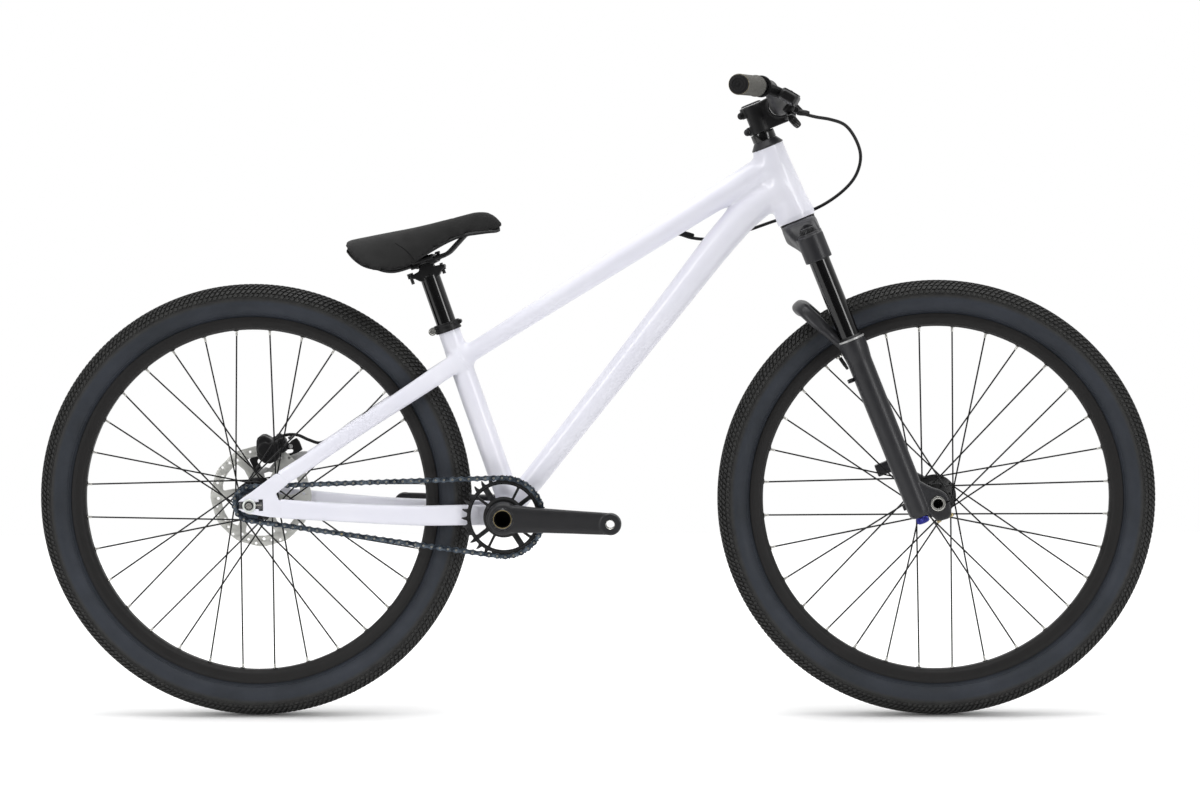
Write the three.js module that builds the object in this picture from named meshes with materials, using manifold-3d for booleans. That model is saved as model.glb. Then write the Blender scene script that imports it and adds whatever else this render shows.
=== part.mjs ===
// A dirt jump bicycle as an assembly of separate pieces, in millimetres, +Z up and +X forward.
// The origin is on the ground midway between the axles. The drive side is -Y.
import * as THREE from "three";
import { mergeVertices } from "three/addons/utils/BufferGeometryUtils.js";
import Module from "manifold-3d";

const wasm = await Module();
wasm.setup();

// Driving dimensions, in millimetres and degrees
const GAP = 0.3;
const TURNING_GAP = 1;
const WHEELBASE = 1050.9;
const TYRE_RADIUS = 336.8;
const TYRE_WIDTH = 57.6;
const RIM_FLANGE_RADIUS = 285.5;
const RIM_BED_RADIUS = 279.5;
const RIM_INNER_RADIUS = 265;
const RIM_WIDTH = 30;
const SPOKES_PER_SIDE = 16;
const SPOKE_CROSSES = 3;
const SPOKE_RADIUS = 1.4;
const SPOKE_SHIFT = 1.55;
const CHAINSTAY_LENGTH = 389;
const BB_DROP = 22;
const STEERING_LEAN = 21.6;
const HEAD_TUBE_TOP = [270, 877];
const HEAD_TUBE_LENGTH = 119;
const SEAT_TUBE_LEAN = 18.8;
const SEAT_TUBE_TOP = [-221.8, 598];
const SEATPOST_RADIUS = 15.45;
const STEERER_RADIUS = 14.3;
const STANCHION_RADIUS = 16;
const FORK_LEG_HALF_SPACING = 64;
const FORK_LEG_OFFSET = 8.6;
const BAR_HALF_WIDTH = 380;
const BAR_CLAMP_RADIUS = 15.9;
const BAR_CLAMP_HALF = 50;
const BAR_GRIP_RADIUS = 11.1;
const CHAIN_PITCH = 12.7;
const CHAIN_LINE = -48;
const CHAIN_PITCHES = 83;
const RING_TEETH = 30;
const COG_TEETH = 13;
const CRANK_LENGTH = 165;
const CRANK_DROOP = 2.65;
const SPINDLE_RADIUS = 14.5;
const ROTOR_RADIUS = 80;
const ROTOR_Y = 54;
const REAR_HUB_HALF_WIDTH = 67.5;
const FRONT_HUB_HALF_WIDTH = 55;
const DROPOUT_THICKNESS = 7;
const HOSE_RADIUS = 2.5;

// How finely the round shapes are faceted. A faceted shaft turns inside TURNING_GAP without touching
const WHEEL_FACETS = 28;
const ROUND_FACETS = 12;
const TUBE_SIDES = 8;

// Places worked out from the driving dimensions
const radians = THREE.MathUtils.degToRad;
const REAR_AXLE = new THREE.Vector3(-WHEELBASE / 2, 0, TYRE_RADIUS);
const FRONT_AXLE = new THREE.Vector3(WHEELBASE / 2, 0, TYRE_RADIUS);
const BB = new THREE.Vector3(
  REAR_AXLE.x + Math.sqrt(CHAINSTAY_LENGTH ** 2 - BB_DROP ** 2), 0, TYRE_RADIUS - BB_DROP);
const RING_PITCH_RADIUS = CHAIN_PITCH / (2 * Math.sin(Math.PI / RING_TEETH));
const COG_PITCH_RADIUS = CHAIN_PITCH / (2 * Math.sin(Math.PI / COG_TEETH));

// Materials, one for each finish of the real bicycle
const finish = (color, roughness, metalness) =>
  new THREE.MeshStandardMaterial({ color, roughness, metalness });
const white = finish(0xeeeef8, 0.3, 0);
const black = finish(0x141416, 0.4, 0.2);
const charcoal = finish(0x3a3a3e, 0.5, 0.3);
const rubber = finish(0x26272b, 0.8, 0);
const silver = finish(0xb8b8b8, 0.3, 0.9);
const gloss = finish(0x0a0a0c, 0.15, 0.3);
const grey = finish(0x55565a, 0.8, 0);
const blue = finish(0x2e2f8f, 0.4, 0.3);
const steel = finish(0x4b5563, 0.4, 0.8);

const bicycle = new THREE.Group();
const frame = new THREE.Group();
const rearWheel = new THREE.Group();
const cranks = new THREE.Group();
const steering = new THREE.Group();
const frontWheel = new THREE.Group();
const seat = new THREE.Group();
bicycle.add(frame, rearWheel, cranks, steering, frontWheel, seat);
rearWheel.position.copy(REAR_AXLE);
frontWheel.position.copy(FRONT_AXLE);
cranks.position.copy(BB);
cranks.rotation.y = radians(CRANK_DROOP);
steering.position.set(HEAD_TUBE_TOP[0], 0, HEAD_TUBE_TOP[1]);
steering.rotation.y = -radians(STEERING_LEAN);
seat.position.set(SEAT_TUBE_TOP[0], 0, SEAT_TUBE_TOP[1]);
seat.rotation.y = -radians(SEAT_TUBE_LEAN);
for (const group of bicycle.children) group.updateMatrix();

function piece(name, geometry, material, group) {
  const mesh = new THREE.Mesh(geometry, material);
  mesh.name = name;
  group.add(mesh);
}

// Closed geometry as a solid that can be joined and cut, and back again
function solid(geometry) {
  const merged = welded(geometry);
  return new wasm.Manifold(new wasm.Mesh({
    numProp: 3,
    vertProperties: new Float32Array(merged.attributes.position.array),
    triVerts: new Uint32Array(merged.index.array),
  }));
}

function welded(geometry) {
  const bare = new THREE.BufferGeometry();
  bare.setAttribute("position", geometry.getAttribute("position").clone());
  bare.setIndex(geometry.index);
  return mergeVertices(bare, 1e-4);
}

function surface(body) {
  const mesh = body.getMesh();
  const geometry = new THREE.BufferGeometry();
  geometry.setAttribute("position", new THREE.BufferAttribute(mesh.vertProperties, 3));
  geometry.setIndex(new THREE.BufferAttribute(mesh.triVerts, 1));
  geometry.computeVertexNormals();
  return geometry;
}

const join = (...shapes) =>
  surface(shapes.map(solid).reduce((all, next) => all.add(next)));

// What is left of a shape after the cutters, without any loose sliver
function cut(shape, ...cutters) {
  const rest = cutters.map(solid).reduce((left, tool) => left.subtract(tool), solid(shape));
  return surface(rest.decompose().sort((a, b) => b.volume() - a.volume())[0]);
}

const inWorld = (geometry, group) => geometry.clone().applyMatrix4(group.matrix);
const inGroup = (geometry, group) => geometry.clone().applyMatrix4(group.matrix.clone().invert());
const mirrored = (geometry) => outward(welded(geometry).scale(1, -1, 1));

// A closed surface of triangles, with its faces turned outward
function outward(shape) {
  const geometry = welded(shape);
  const p = geometry.getAttribute("position");
  const index = Array.from(geometry.index.array);
  const a = new THREE.Vector3();
  const b = new THREE.Vector3();
  const c = new THREE.Vector3();
  let volume = 0;
  for (let i = 0; i < index.length; i += 3) {
    a.fromBufferAttribute(p, index[i]);
    b.fromBufferAttribute(p, index[i + 1]);
    c.fromBufferAttribute(p, index[i + 2]);
    volume += a.dot(b.cross(c));
  }
  if (volume < 0) geometry.setIndex(index.reverse());
  return geometry;
}

// Rings of points joined into a tube; the last ring joins the first where closed, or the ends are capped
function skin(rings, closed = false) {
  const sides = rings[0].length;
  const points = rings.flat();
  const faces = [];
  const spans = closed ? rings.length : rings.length - 1;
  for (let i = 0; i < spans; i++) {
    const next = ((i + 1) % rings.length) * sides;
    for (let j = 0; j < sides; j++) {
      const k = (j + 1) % sides;
      faces.push(i * sides + j, i * sides + k, next + k, i * sides + j, next + k, next + j);
    }
  }
  if (!closed)
    for (const [start, flip] of [[0, true], [(rings.length - 1) * sides, false]])
      for (let j = 1; j < sides - 1; j++)
        faces.push(start, start + (flip ? j + 1 : j), start + (flip ? j : j + 1));
  const geometry = new THREE.BufferGeometry().setFromPoints(points);
  geometry.setIndex(faces);
  return outward(geometry);
}

// Control rows of place and half sizes, [x, y, z, half width, half height], smoothed into stations
function smooth(rows, steps) {
  const path = new THREE.CatmullRomCurve3(rows.map((r) => new THREE.Vector3(r[0], r[1], r[2])));
  const sizes = new THREE.CatmullRomCurve3(rows.map((r) => new THREE.Vector3(r[3], r[4], 0)));
  return Array.from({ length: steps + 1 }, (_, i) => {
    const size = sizes.getPoint(i / steps);
    return { at: path.getPoint(i / steps), along: path.getTangent(i / steps), half: [size.x, size.y] };
  });
}

// The rings of a bar that follows its stations: power 2 is an ellipse, and more is squarer
function rings(stations, { across = [0, 1, 0], sides = TUBE_SIDES, power = 2, inset = 0 } = {}) {
  return stations.map(({ at, along, half }) => {
    const wide = new THREE.Vector3(...across);
    wide.addScaledVector(along, -wide.dot(along)).normalize();
    const tall = new THREE.Vector3().crossVectors(along, wide);
    return Array.from({ length: sides }, (_, j) => {
      const turn = (2 * Math.PI * (j + 0.5)) / sides;
      const [c, s] = [Math.cos(turn), Math.sin(turn)];
      const a = (half[0] - inset) * Math.sign(c) * Math.abs(c) ** (2 / power);
      const b = (half[1] - inset) * Math.sign(s) * Math.abs(s) ** (2 / power);
      return at.clone().addScaledVector(wide, a).addScaledVector(tall, b);
    });
  });
}

const bar = (rows, steps, options) => skin(rings(smooth(rows, steps), options));

// A bar with a wall, open at both ends
function pipe(rows, steps, wall, options = {}) {
  const stations = smooth(rows, steps);
  const inner = rings(stations, { ...options, inset: wall });
  return skin([...rings(stations, options), ...inner.reverse()], true);
}

// A profile of [radius, place along the axle] turned about Y; it closes on itself or meets the axis
function turned(profile, facets = ROUND_FACETS) {
  const closes = profile.every(([radius]) => radius > 0);
  const points = closes ? [...profile, profile[0]] : profile;
  const geometry = new THREE.LatheGeometry(points.map(([r, y]) => new THREE.Vector2(r, y)), facets);
  return outward(geometry);
}

const upright = (geometry) => geometry.rotateX(Math.PI / 2);
const rod = (radius, low, high, facets) =>
  turned([[0, low], [radius, low], [radius, high], [0, high]], facets);

// An outline of [x, z] points as a plate between two places across the bicycle
function plate(outline, low, high, holes = []) {
  const shape = new THREE.Shape(outline.map(([x, z]) => new THREE.Vector2(x, z)));
  for (const hole of holes)
    shape.holes.push(new THREE.Path(hole.map(([x, z]) => new THREE.Vector2(x, z))));
  const slab = new THREE.ExtrudeGeometry(shape, { depth: high - low, bevelEnabled: false });
  return slab.rotateX(Math.PI / 2).translate(0, high, 0);
}

const block = (x, y, z) =>
  plate([[x[0], z[0]], [x[1], z[0]], [x[1], z[1]], [x[0], z[1]]], y[0], y[1]);

const mirrorProfile = (profile) => profile.map(([r, y]) => [r, -y]).reverse();

const polar = (radius, degrees) =>
  [radius * Math.cos(radians(degrees)), radius * Math.sin(radians(degrees))];

const circle = (radius, count) =>
  Array.from({ length: count }, (_, i) => polar(radius, (360 * i) / count));

// A toothed ring outline: roots under the chain's rollers, at the pitch radius less the roller
function teeth(count, pitchRadius) {
  const root = pitchRadius - 4.4;
  const tip = pitchRadius + 3;
  const step = 360 / count;
  return Array.from({ length: count }, (_, i) => [
    polar(root, step * (i - 0.24)), polar(root, step * (i + 0.24)),
    polar(tip, step * (i + 0.43)), polar(tip, step * (i + 0.57)),
  ]).flat();
}

// Frame tubes
const headOuter = (grow = 0) => inWorld(upright(turned([
  [0, -HEAD_TUBE_LENGTH - grow], [29.8 + grow, -HEAD_TUBE_LENGTH - grow],
  [30.4 + grow, -112], [27.3 + grow, -86], [24.4 + grow, -20], [24.2 + grow, grow],
  [0, grow]])), steering);
const headBore = inWorld(upright(turned([
  [0, -125], [28, -125], [28, -104], [20.5, -103.5], [18, -16], [22, -15.5], [22, 5], [0, 5]])),
steering);
piece("head_tube", cut(headOuter(), headBore), white, frame);

const seatLength = (SEAT_TUBE_TOP[1] - BB.z) / Math.cos(radians(SEAT_TUBE_LEAN));
const seatOuter = (grow = 0) => inWorld(upright(turned([
  [0, -seatLength], [18 + grow, -seatLength], [18 + grow, -110], [17 + grow, -20],
  [17 + grow, 11 + grow], [0, 11 + grow]])), seat);
const seatBore = inWorld(upright(rod(SEATPOST_RADIUS + GAP, -seatLength + 24, 20)), seat);
const bbShell = (grow = 0) => rod(22 + grow, -34 - grow, 34 + grow).translate(...BB);
const bbBore = rod(17.6, -40, 40).translate(...BB);
piece("seat_tube", cut(join(seatOuter(), bbShell()), seatBore, bbBore), white, frame);

const topTubeRows = (grow = 0) => [
  [-212, 0, 549.7, 15 + grow, 14 + grow], [-112.5, 0, 611.5, 15.5 + grow, 14.2 + grow],
  [27, 0, 698.2, 17 + grow, 16.5 + grow], [166, 0, 784.5, 19 + grow, 18.4 + grow],
  [285, 0, 857, 20 + grow, 20.5 + grow]];
piece("top_tube", cut(pipe(topTubeRows(), 4, 1.8), headOuter(GAP), seatOuter(GAP)), white, frame);

const downTubeRows = [
  [-137, 0, 314.8, 17, 17.5], [-92, 0, 370, 17, 17.6], [-45.2, 0, 428.5, 17.5, 17.8],
  [40, 0, 535.6, 18.5, 19.5], [126.5, 0, 644, 20, 21.2], [196, 0, 732, 22, 23.4],
  [232, 0, 772, 23, 23.8], [262, 0, 797, 23, 23.8], [300, 0, 822, 23, 23]];
piece("down_tube", cut(pipe(downTubeRows, 8, 1.8), headOuter(GAP), bbShell(GAP), seatOuter(GAP),
  bar(topTubeRows(GAP), 4)), white, frame);

// Rear triangle. The slot in each dropout is open to the rear, for the axle and its tensioner
const SLOT = { low: 331.4, high: 342.2, front: -512, blockFront: -505.4, blockLow: 328, blockHigh: 345.6 };
const dropoutOutline = [
  [-542.5, SLOT.high], [-541.5, 347], [-521, 360.5], [-483, 387.6], [-469.6, 366.8], [-481.5, 352.5],
  [-477.5, 346.5], [-477.5, 316.8], [-495, 317.6], [-525, 322.6], [-541.5, 328.5], [-542.5, SLOT.low],
  [SLOT.front, SLOT.low], [SLOT.front, SLOT.blockLow], [SLOT.blockFront, SLOT.blockLow],
  [SLOT.blockFront, SLOT.blockHigh], [SLOT.front, SLOT.blockHigh], [SLOT.front, SLOT.high]];
const dropoutIn = -REAR_HUB_HALF_WIDTH;
const dropoutOut = dropoutIn - DROPOUT_THICKNESS;
const chainstayRows = [
  [-479, -70.8, 331.6, 3.6, 14.6], [-462, -69.6, 330.4, 6.5, 14.6], [-430, -66.5, 327.8, 8, 14.4],
  [-389, -60.5, 324.6, 9, 14.2], [-330, -51.5, 320.2, 9, 14.6], [-262, -43, 317, 8.5, 15.6],
  [-226, -38.2, 316.7, 6.2, 15.8], [-198, -33.5, 316.5, 6, 15.8], [-170, -27.5, 315.6, 6, 15.6],
  [-145, -23, 314.9, 6, 15]];
const chainstay = cut(join(
  plate(dropoutOutline, dropoutOut, dropoutIn),
  bar(chainstayRows, 8, { power: 3 })),
bbShell(GAP), seatOuter(GAP));
piece("right_chainstay", chainstay, white, frame);
piece("left_chainstay", mirrored(chainstay), white, frame);

const seatstayRows = [
  [-475.9, -70.2, 377.8, 6.2, 11.8], [-440, -67.5, 400, 7.6, 11.8], [-390, -62, 433.6, 8, 12],
  [-348, -55.5, 461.2, 8, 12.4], [-300, -47.5, 492, 8, 13], [-270, -41, 511.4, 8, 13.6],
  [-250, -33.5, 524.4, 8, 14], [-232, -25, 536, 8, 14], [-205, -14, 553.5, 8, 14]];
const seatstay = cut(pipe(seatstayRows, 6, 1.6, { power: 2.4 }), seatOuter(GAP),
  bar(topTubeRows(GAP), 4), block([-230, -180], [-3, 40], [480, 600]));
piece("right_seatstay", seatstay, white, frame);
piece("left_seatstay", mirrored(seatstay), white, frame);

// Pieces held in the frame: bearings, seat clamp, axle and its tensioners
const bbCup = turned([
  [SPINDLE_RADIUS + TURNING_GAP, -43.6], [21.5, -43.6], [21.5, -34 - GAP], [17.2, -34 - GAP], [17.2, -14],
  [SPINDLE_RADIUS + TURNING_GAP, -14]]).translate(...BB);
piece("right_bottom_bracket_cup", bbCup, black, frame);
piece("left_bottom_bracket_cup", mirrored(bbCup), black, frame);

const bearing = (inner, outer, low, high) =>
  inWorld(upright(turned([[inner, low], [outer, low], [outer, high], [inner, high]])), steering);
piece("headset_upper_bearing", bearing(STEERER_RADIUS + TURNING_GAP, 21.7, -14, -0.8), steel, frame);
piece("headset_lower_bearing", bearing(19.5 + TURNING_GAP * 1.3, 27.6, -118, -104.5), steel, frame);

const clampRing = upright(turned([
  [17 + GAP, 0.3], [20.4, 0.3], [20.4, 14.2], [SEATPOST_RADIUS + GAP, 14.2],
  [SEATPOST_RADIUS + GAP, 11.8], [17 + GAP, 11.8]]));
const clampEars = join(clampRing, rod(6, -9, 9, 10).translate(-24, 0, 7.4),
  block([-24, -19.5], [-9, 9], [2.4, 12.4]), rod(3.6, -8, 8, 8).translate(20.4, 0, 9));
const clampBore = upright(turned([
  [0, -10], [17 + GAP, -10], [17 + GAP, 11.8], [SEATPOST_RADIUS + GAP, 11.8],
  [SEATPOST_RADIUS + GAP, 30], [0, 30]]));
piece("seat_clamp", cut(clampEars, clampBore), gloss, seat);

const AXLE_RADIUS = 5;
const axleEnd = (shoulder) => [
  [0, dropoutOut - 9.6], [8.4, dropoutOut - 9.6], [9.7, dropoutOut - 2], [9.7, dropoutOut - 0.4],
  [AXLE_RADIUS, dropoutOut - 0.4], [AXLE_RADIUS, dropoutIn + 0.3], [8.5, dropoutIn + 0.3],
  [8.5, shoulder], [AXLE_RADIUS, shoulder]];
piece("rear_axle", turned([...axleEnd(-52.6), ...mirrorProfile(axleEnd(-57.6))], 10)
  .translate(...REAR_AXLE), silver, frame);

const tensionerY = [dropoutOut + 0.4, dropoutIn - 0.4];
const tensioner = join(
  block([SLOT.front + 0.7, SLOT.blockFront - 0.4], tensionerY, [SLOT.blockLow + 0.4, SLOT.blockHigh - 0.4]),
  block([-519.6, SLOT.front + 1], [dropoutOut + 1.4, dropoutIn - 1.4],
    [REAR_AXLE.z - 2.1, REAR_AXLE.z + 2.1]));
piece("right_chain_tensioner", tensioner, black, frame);
piece("left_chain_tensioner", mirrored(tensioner), black, frame);

// Chain: pins a pitch apart round the ring and the cog, with the straights between them
function chainPins() {
  const span = Math.hypot(BB.x - REAR_AXLE.x, BB.z - REAR_AXLE.z);
  const slope = Math.atan2(BB.z - REAR_AXLE.z, BB.x - REAR_AXLE.x);
  const flare = Math.asin((RING_PITCH_RADIUS - COG_PITCH_RADIUS) / span);
  const straight = span * Math.cos(flare);
  const ringArc = RING_PITCH_RADIUS * (Math.PI + 2 * flare);
  const cogArc = COG_PITCH_RADIUS * (Math.PI - 2 * flare);
  const total = ringArc + cogArc + 2 * straight;
  const around = (centre, radius, turn) =>
    [centre.x + radius * Math.cos(turn), centre.z + radius * Math.sin(turn)];
  const place = (s) => {
    if (s < ringArc)
      return around(BB, RING_PITCH_RADIUS, slope + Math.PI / 2 + flare - s / RING_PITCH_RADIUS);
    const lower = slope - Math.PI / 2 - flare;
    const upper = slope + Math.PI / 2 + flare;
    const between = (from, to, share) =>
      [from[0] + (to[0] - from[0]) * share, from[1] + (to[1] - from[1]) * share];
    if (s < ringArc + straight)
      return between(around(BB, RING_PITCH_RADIUS, lower), around(REAR_AXLE, COG_PITCH_RADIUS, lower),
        (s - ringArc) / straight);
    if (s < ringArc + straight + cogArc)
      return around(REAR_AXLE, COG_PITCH_RADIUS, lower - (s - ringArc - straight) / COG_PITCH_RADIUS);
    return between(around(REAR_AXLE, COG_PITCH_RADIUS, upper), around(BB, RING_PITCH_RADIUS, upper),
      (s - ringArc - straight - cogArc) / straight);
  };
  return Array.from({ length: CHAIN_PITCHES }, (_, i) => place((total * i) / CHAIN_PITCHES));
}

// Two bands of side plates with a rung at each pin, as one ladder with a hole for each tooth
const PLATE_HALF_HEIGHT = 3.9;
const PLATE_INNER = 1.9;
const PLATE_OUTER = 4.4;
const ROLLER_HALF = 2.2;
function chainBelt(rungs) {
  const count = rungs.length;
  const points = [];
  rungs.forEach(([x, z], i) => {
    const [backX, backZ] = rungs[(i + count - 1) % count];
    const [nextX, nextZ] = rungs[(i + 1) % count];
    const along = new THREE.Vector2(x - backX, z - backZ).normalize()
      .add(new THREE.Vector2(nextX - x, nextZ - z).normalize()).normalize();
    for (const side of [-1, 1])
      for (const [ahead, y] of [[0, PLATE_OUTER], [-ROLLER_HALF, PLATE_INNER], [ROLLER_HALF, PLATE_INNER]])
        for (const up of [PLATE_HALF_HEIGHT, -PLATE_HALF_HEIGHT])
          points.push(new THREE.Vector3(x + along.x * ahead - along.y * up, CHAIN_LINE + side * y,
            z + along.y * ahead + along.x * up));
  });
  const faces = [];
  const face = (flip, ...corners) => {
    const ring = flip ? corners.reverse() : corners;
    for (let i = 2; i < ring.length; i++) faces.push(ring[0], ring[i - 1], ring[i]);
  };
  for (let i = 0; i < count; i++) {
    for (const side of [0, 1]) {
      const [outTop, outLow, backTop, backLow, aheadTop, aheadLow] =
        Array.from({ length: 6 }, (_, j) => i * 12 + side * 6 + j);
      const [nextTop, nextLow, nextBackTop, nextBackLow] =
        Array.from({ length: 4 }, (_, j) => ((i + 1) % count) * 12 + side * 6 + j);
      const flip = side === 1;
      face(flip, outLow, outTop, nextTop, nextLow);
      face(flip, aheadLow, nextBackLow, nextBackTop, aheadTop);
      face(flip, outTop, backTop, aheadTop);
      face(flip, outTop, aheadTop, nextBackTop, nextTop);
      face(flip, outLow, aheadLow, backLow);
      face(flip, nextLow, nextBackLow, aheadLow, outLow);
    }
    const [a, b] = [i * 12, i * 12 + 6];
    face(false, a + 2, b + 2, b + 4, a + 4);
    face(false, a + 3, a + 5, b + 5, b + 3);
    face(false, a + 2, a + 3, b + 3, b + 2);
    face(false, a + 4, b + 4, b + 5, a + 5);
  }
  const geometry = new THREE.BufferGeometry().setFromPoints(points);
  geometry.setIndex(faces);
  return outward(geometry);
}
const pins = chainPins();
const onSprocket = ([x, z]) =>
  Math.abs(Math.hypot(x - BB.x, z - BB.z) - RING_PITCH_RADIUS) < 0.2
  || Math.abs(Math.hypot(x - REAR_AXLE.x, z - REAR_AXLE.z) - COG_PITCH_RADIUS) < 0.2;
piece("chain", chainBelt(pins.filter((pin, i) => onSprocket(pin) || i % 4 === 0)), steel, frame);

// The angle of the chain pin nearest straight up from a sprocket, which sets how its teeth stand
function pinAngle(centre, radius) {
  const held = pins.filter(([x, z]) => Math.abs(Math.hypot(x - centre.x, z - centre.z) - radius) < 0.05);
  const [x, z] = held[Math.floor(held.length / 2)];
  return THREE.MathUtils.radToDeg(Math.atan2(z - centre.z, x - centre.x));
}

// Cranks, spindle and chainring. The right arm points forward and the left arm to the rear
const HUB_END = -78.6;
const armRows = [
  [0, -64.5, 0, 13.8, 22], [30, -67.4, 0, 11, 20], [63, -69.6, 0, 8.8, 18.6], [110, -73, 0, 7, 17.6],
  [CRANK_LENGTH, -77.4, 0, 6.6, 16.8]];
const arm = cut(join(
  bar(armRows, 5, { power: 4 }),
  rod(25, HUB_END, -51.4),
  rod(16.9, -84, -70.8, 12).translate(CRANK_LENGTH, 0, 0)),
rod(SPINDLE_RADIUS + GAP, -90, -40),
rod(7.1, -95, -60, 12).translate(CRANK_LENGTH, 0, 0));
piece("right_crank_arm", arm, charcoal, cranks);
piece("left_crank_arm", arm.clone().rotateZ(Math.PI), charcoal, cranks);
piece("crank_spindle", turned([
  [11.8, HUB_END], [SPINDLE_RADIUS, HUB_END], [SPINDLE_RADIUS, -HUB_END], [11.8, -HUB_END]]),
silver, cranks);

const ringArms = [
  [40, 3.6], [65.5, 2.4], [125, 5], [145.5, 2.4],
  [220, 3.6], [245.5, 2.4], [305, 5], [325.5, 2.4]];
const ringWindows = ringArms.map(([angle, half], i) => {
  const [nextAngle, nextHalf] = ringArms[(i + 1) % ringArms.length];
  const end = nextAngle + (nextAngle < angle ? 360 : 0);
  const edge = (radius, width) => THREE.MathUtils.radToDeg(width / radius);
  const from = (radius) => angle + edge(radius, half);
  const to = (radius) => end - edge(radius, nextHalf);
  const steps = Math.max(1, Math.round((end - angle) / 30));
  const arc = (radius) => Array.from({ length: steps + 1 }, (_, k) =>
    polar(radius, from(radius) + ((to(radius) - from(radius)) * k) / steps));
  return [...arc(50.5), ...arc(31).reverse()];
});
const ringTurn = pinAngle(BB, RING_PITCH_RADIUS) + CRANK_DROOP;
const ringPlate = plate(teeth(RING_TEETH, RING_PITCH_RADIUS), CHAIN_LINE - 1.2, CHAIN_LINE + 1.2)
  .rotateY(-radians(ringTurn));
const windowCutters = ringWindows.map((outline) => plate(outline, CHAIN_LINE - 5, CHAIN_LINE + 5));
piece("chainring", cut(join(ringPlate, rod(29, -50.8, CHAIN_LINE + 1.2)),
  rod(SPINDLE_RADIUS + 0.4, -60, -40), ...windowCutters), black, cranks);

// Wheels
const rimHalf = RIM_WIDTH / 2;
const carcass = TYRE_WIDTH / 2;
const carcassCentre = TYRE_RADIUS - carcass;
const tyreHalf = [
  [TYRE_RADIUS - 4.4, 15.5], [TYRE_RADIUS - 14, 25], [carcassCentre, carcass],
  [RIM_FLANGE_RADIUS + 6, 17], [RIM_BED_RADIUS + 0.7, 12.3],
  [RIM_BED_RADIUS + 0.7, 9.6], [carcassCentre - 5, 24], [TYRE_RADIUS - 10, 15]];
const tyreProfile = [[TYRE_RADIUS, 0], ...tyreHalf, ...mirrorProfile(tyreHalf)];
const rimHalfProfile = [
  [RIM_BED_RADIUS - 5, 8], [RIM_BED_RADIUS, rimHalf - 2], [RIM_FLANGE_RADIUS, rimHalf],
  [RIM_INNER_RADIUS + 5, rimHalf - 1], [RIM_INNER_RADIUS, 8.5]];
const TUBE_CENTRE = 304;
const VALVE_RADIUS = 3;

function innerTube(valveAngle) {
  const ring = (radius, facets) => turned(Array.from({ length: facets }, (_, i) => {
    const [out, y] = polar(radius, (360 * (i + 0.5)) / facets);
    return [TUBE_CENTRE + out, y];
  }), 16);
  const valve = (radius, from, to) => rod(radius, from, to, 8).rotateZ(-Math.PI / 2)
    .rotateY(-radians(valveAngle));
  return cut(join(ring(17, 5), valve(VALVE_RADIUS, 243, 295)), ring(15.4, 5), valve(1.6, 235, 298));
}

// The leading spokes of a flange start outside the trailing ones, pass them clear at the crossing
// nearest the hub, touch them at the other two, and reach the rim beside them
function spokes(flangeRadius, flangeY, rimY, firstAngle) {
  const step = 360 / SPOKES_PER_SIDE;
  const wires = Array.from({ length: SPOKES_PER_SIDE }, (_, i) => {
    const lead = i % 2 ? -1 : 1;
    const rimAngle = firstAngle + step * i;
    const [x0, z0] = polar(flangeRadius, rimAngle + lead * SPOKE_CROSSES * step);
    const [x1, z1] = polar(RIM_INNER_RADIUS - 3.4, rimAngle);
    return bar([
      [x0, flangeY + lead * SPOKE_SHIFT, z0, SPOKE_RADIUS, SPOKE_RADIUS],
      [x1, rimY - lead * 0.6 * SPOKE_SHIFT, z1, SPOKE_RADIUS, SPOKE_RADIUS]],
    1, { sides: 3, across: [0, lead, 0] });
  });
  return join(...wires);
}

function wheel(name, group, hubProfile, flanges, valveAngle) {
  piece(name + "_tyre", turned(tyreProfile, WHEEL_FACETS), rubber, group);
  const rim = cut(turned([...rimHalfProfile, ...mirrorProfile(rimHalfProfile)], WHEEL_FACETS),
    rod(VALVE_RADIUS + 0.6, 255, 290, 8).rotateZ(-Math.PI / 2).rotateY(-radians(valveAngle)));
  piece(name + "_rim", rim, charcoal, group);
  piece(name + "_inner_tube", innerTube(valveAngle), rubber, group);
  piece(name + "_hub", turned(hubProfile), black, group);
  const step = 180 / SPOKES_PER_SIDE;
  for (const { side, radius, y, first } of flanges) {
    const wires = spokes(radius, y, Math.sign(y) * 4, first * step);
    piece(name + "_" + side + "_spokes", wires, black, group);
  }
}

wheel("rear", rearWheel, [
  [5.4, -52], [17, -52], [17, -44.5], [12, -43.5], [12, -25.5], [32, -25.5], [32, -22.5],
  [14, -18], [14, 21], [32, 25.5], [32, 28.5], [15, 28.5], [15, 44], [22, 46],
  [22, ROTOR_Y - 1.2], [16.8, ROTOR_Y - 1.2], [16.8, 57], [5.4, 57]],
[{ side: "right", radius: 29.5, y: -28.8, first: 0.5 }, { side: "left", radius: 29.5, y: 31.8, first: 1.5 }],
-3);
wheel("front", frontWheel, [
  [10.4, -FRONT_HUB_HALF_WIDTH + 0.4], [14.5, -FRONT_HUB_HALF_WIDTH + 0.4], [14.5, -36], [20, -31],
  [26, -31], [26, -28], [17, -22], [17, 22], [33, 28], [33, 31], [20, 31], [21, 44], [14.5, 44],
  [14.5, FRONT_HUB_HALF_WIDTH - 0.4], [10.4, FRONT_HUB_HALF_WIDTH - 0.4]],
[{ side: "right", radius: 22.5, y: -34.6, first: 0.5 }, { side: "left", radius: 29.5, y: 34.6, first: 1.5 }],
124);

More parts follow.
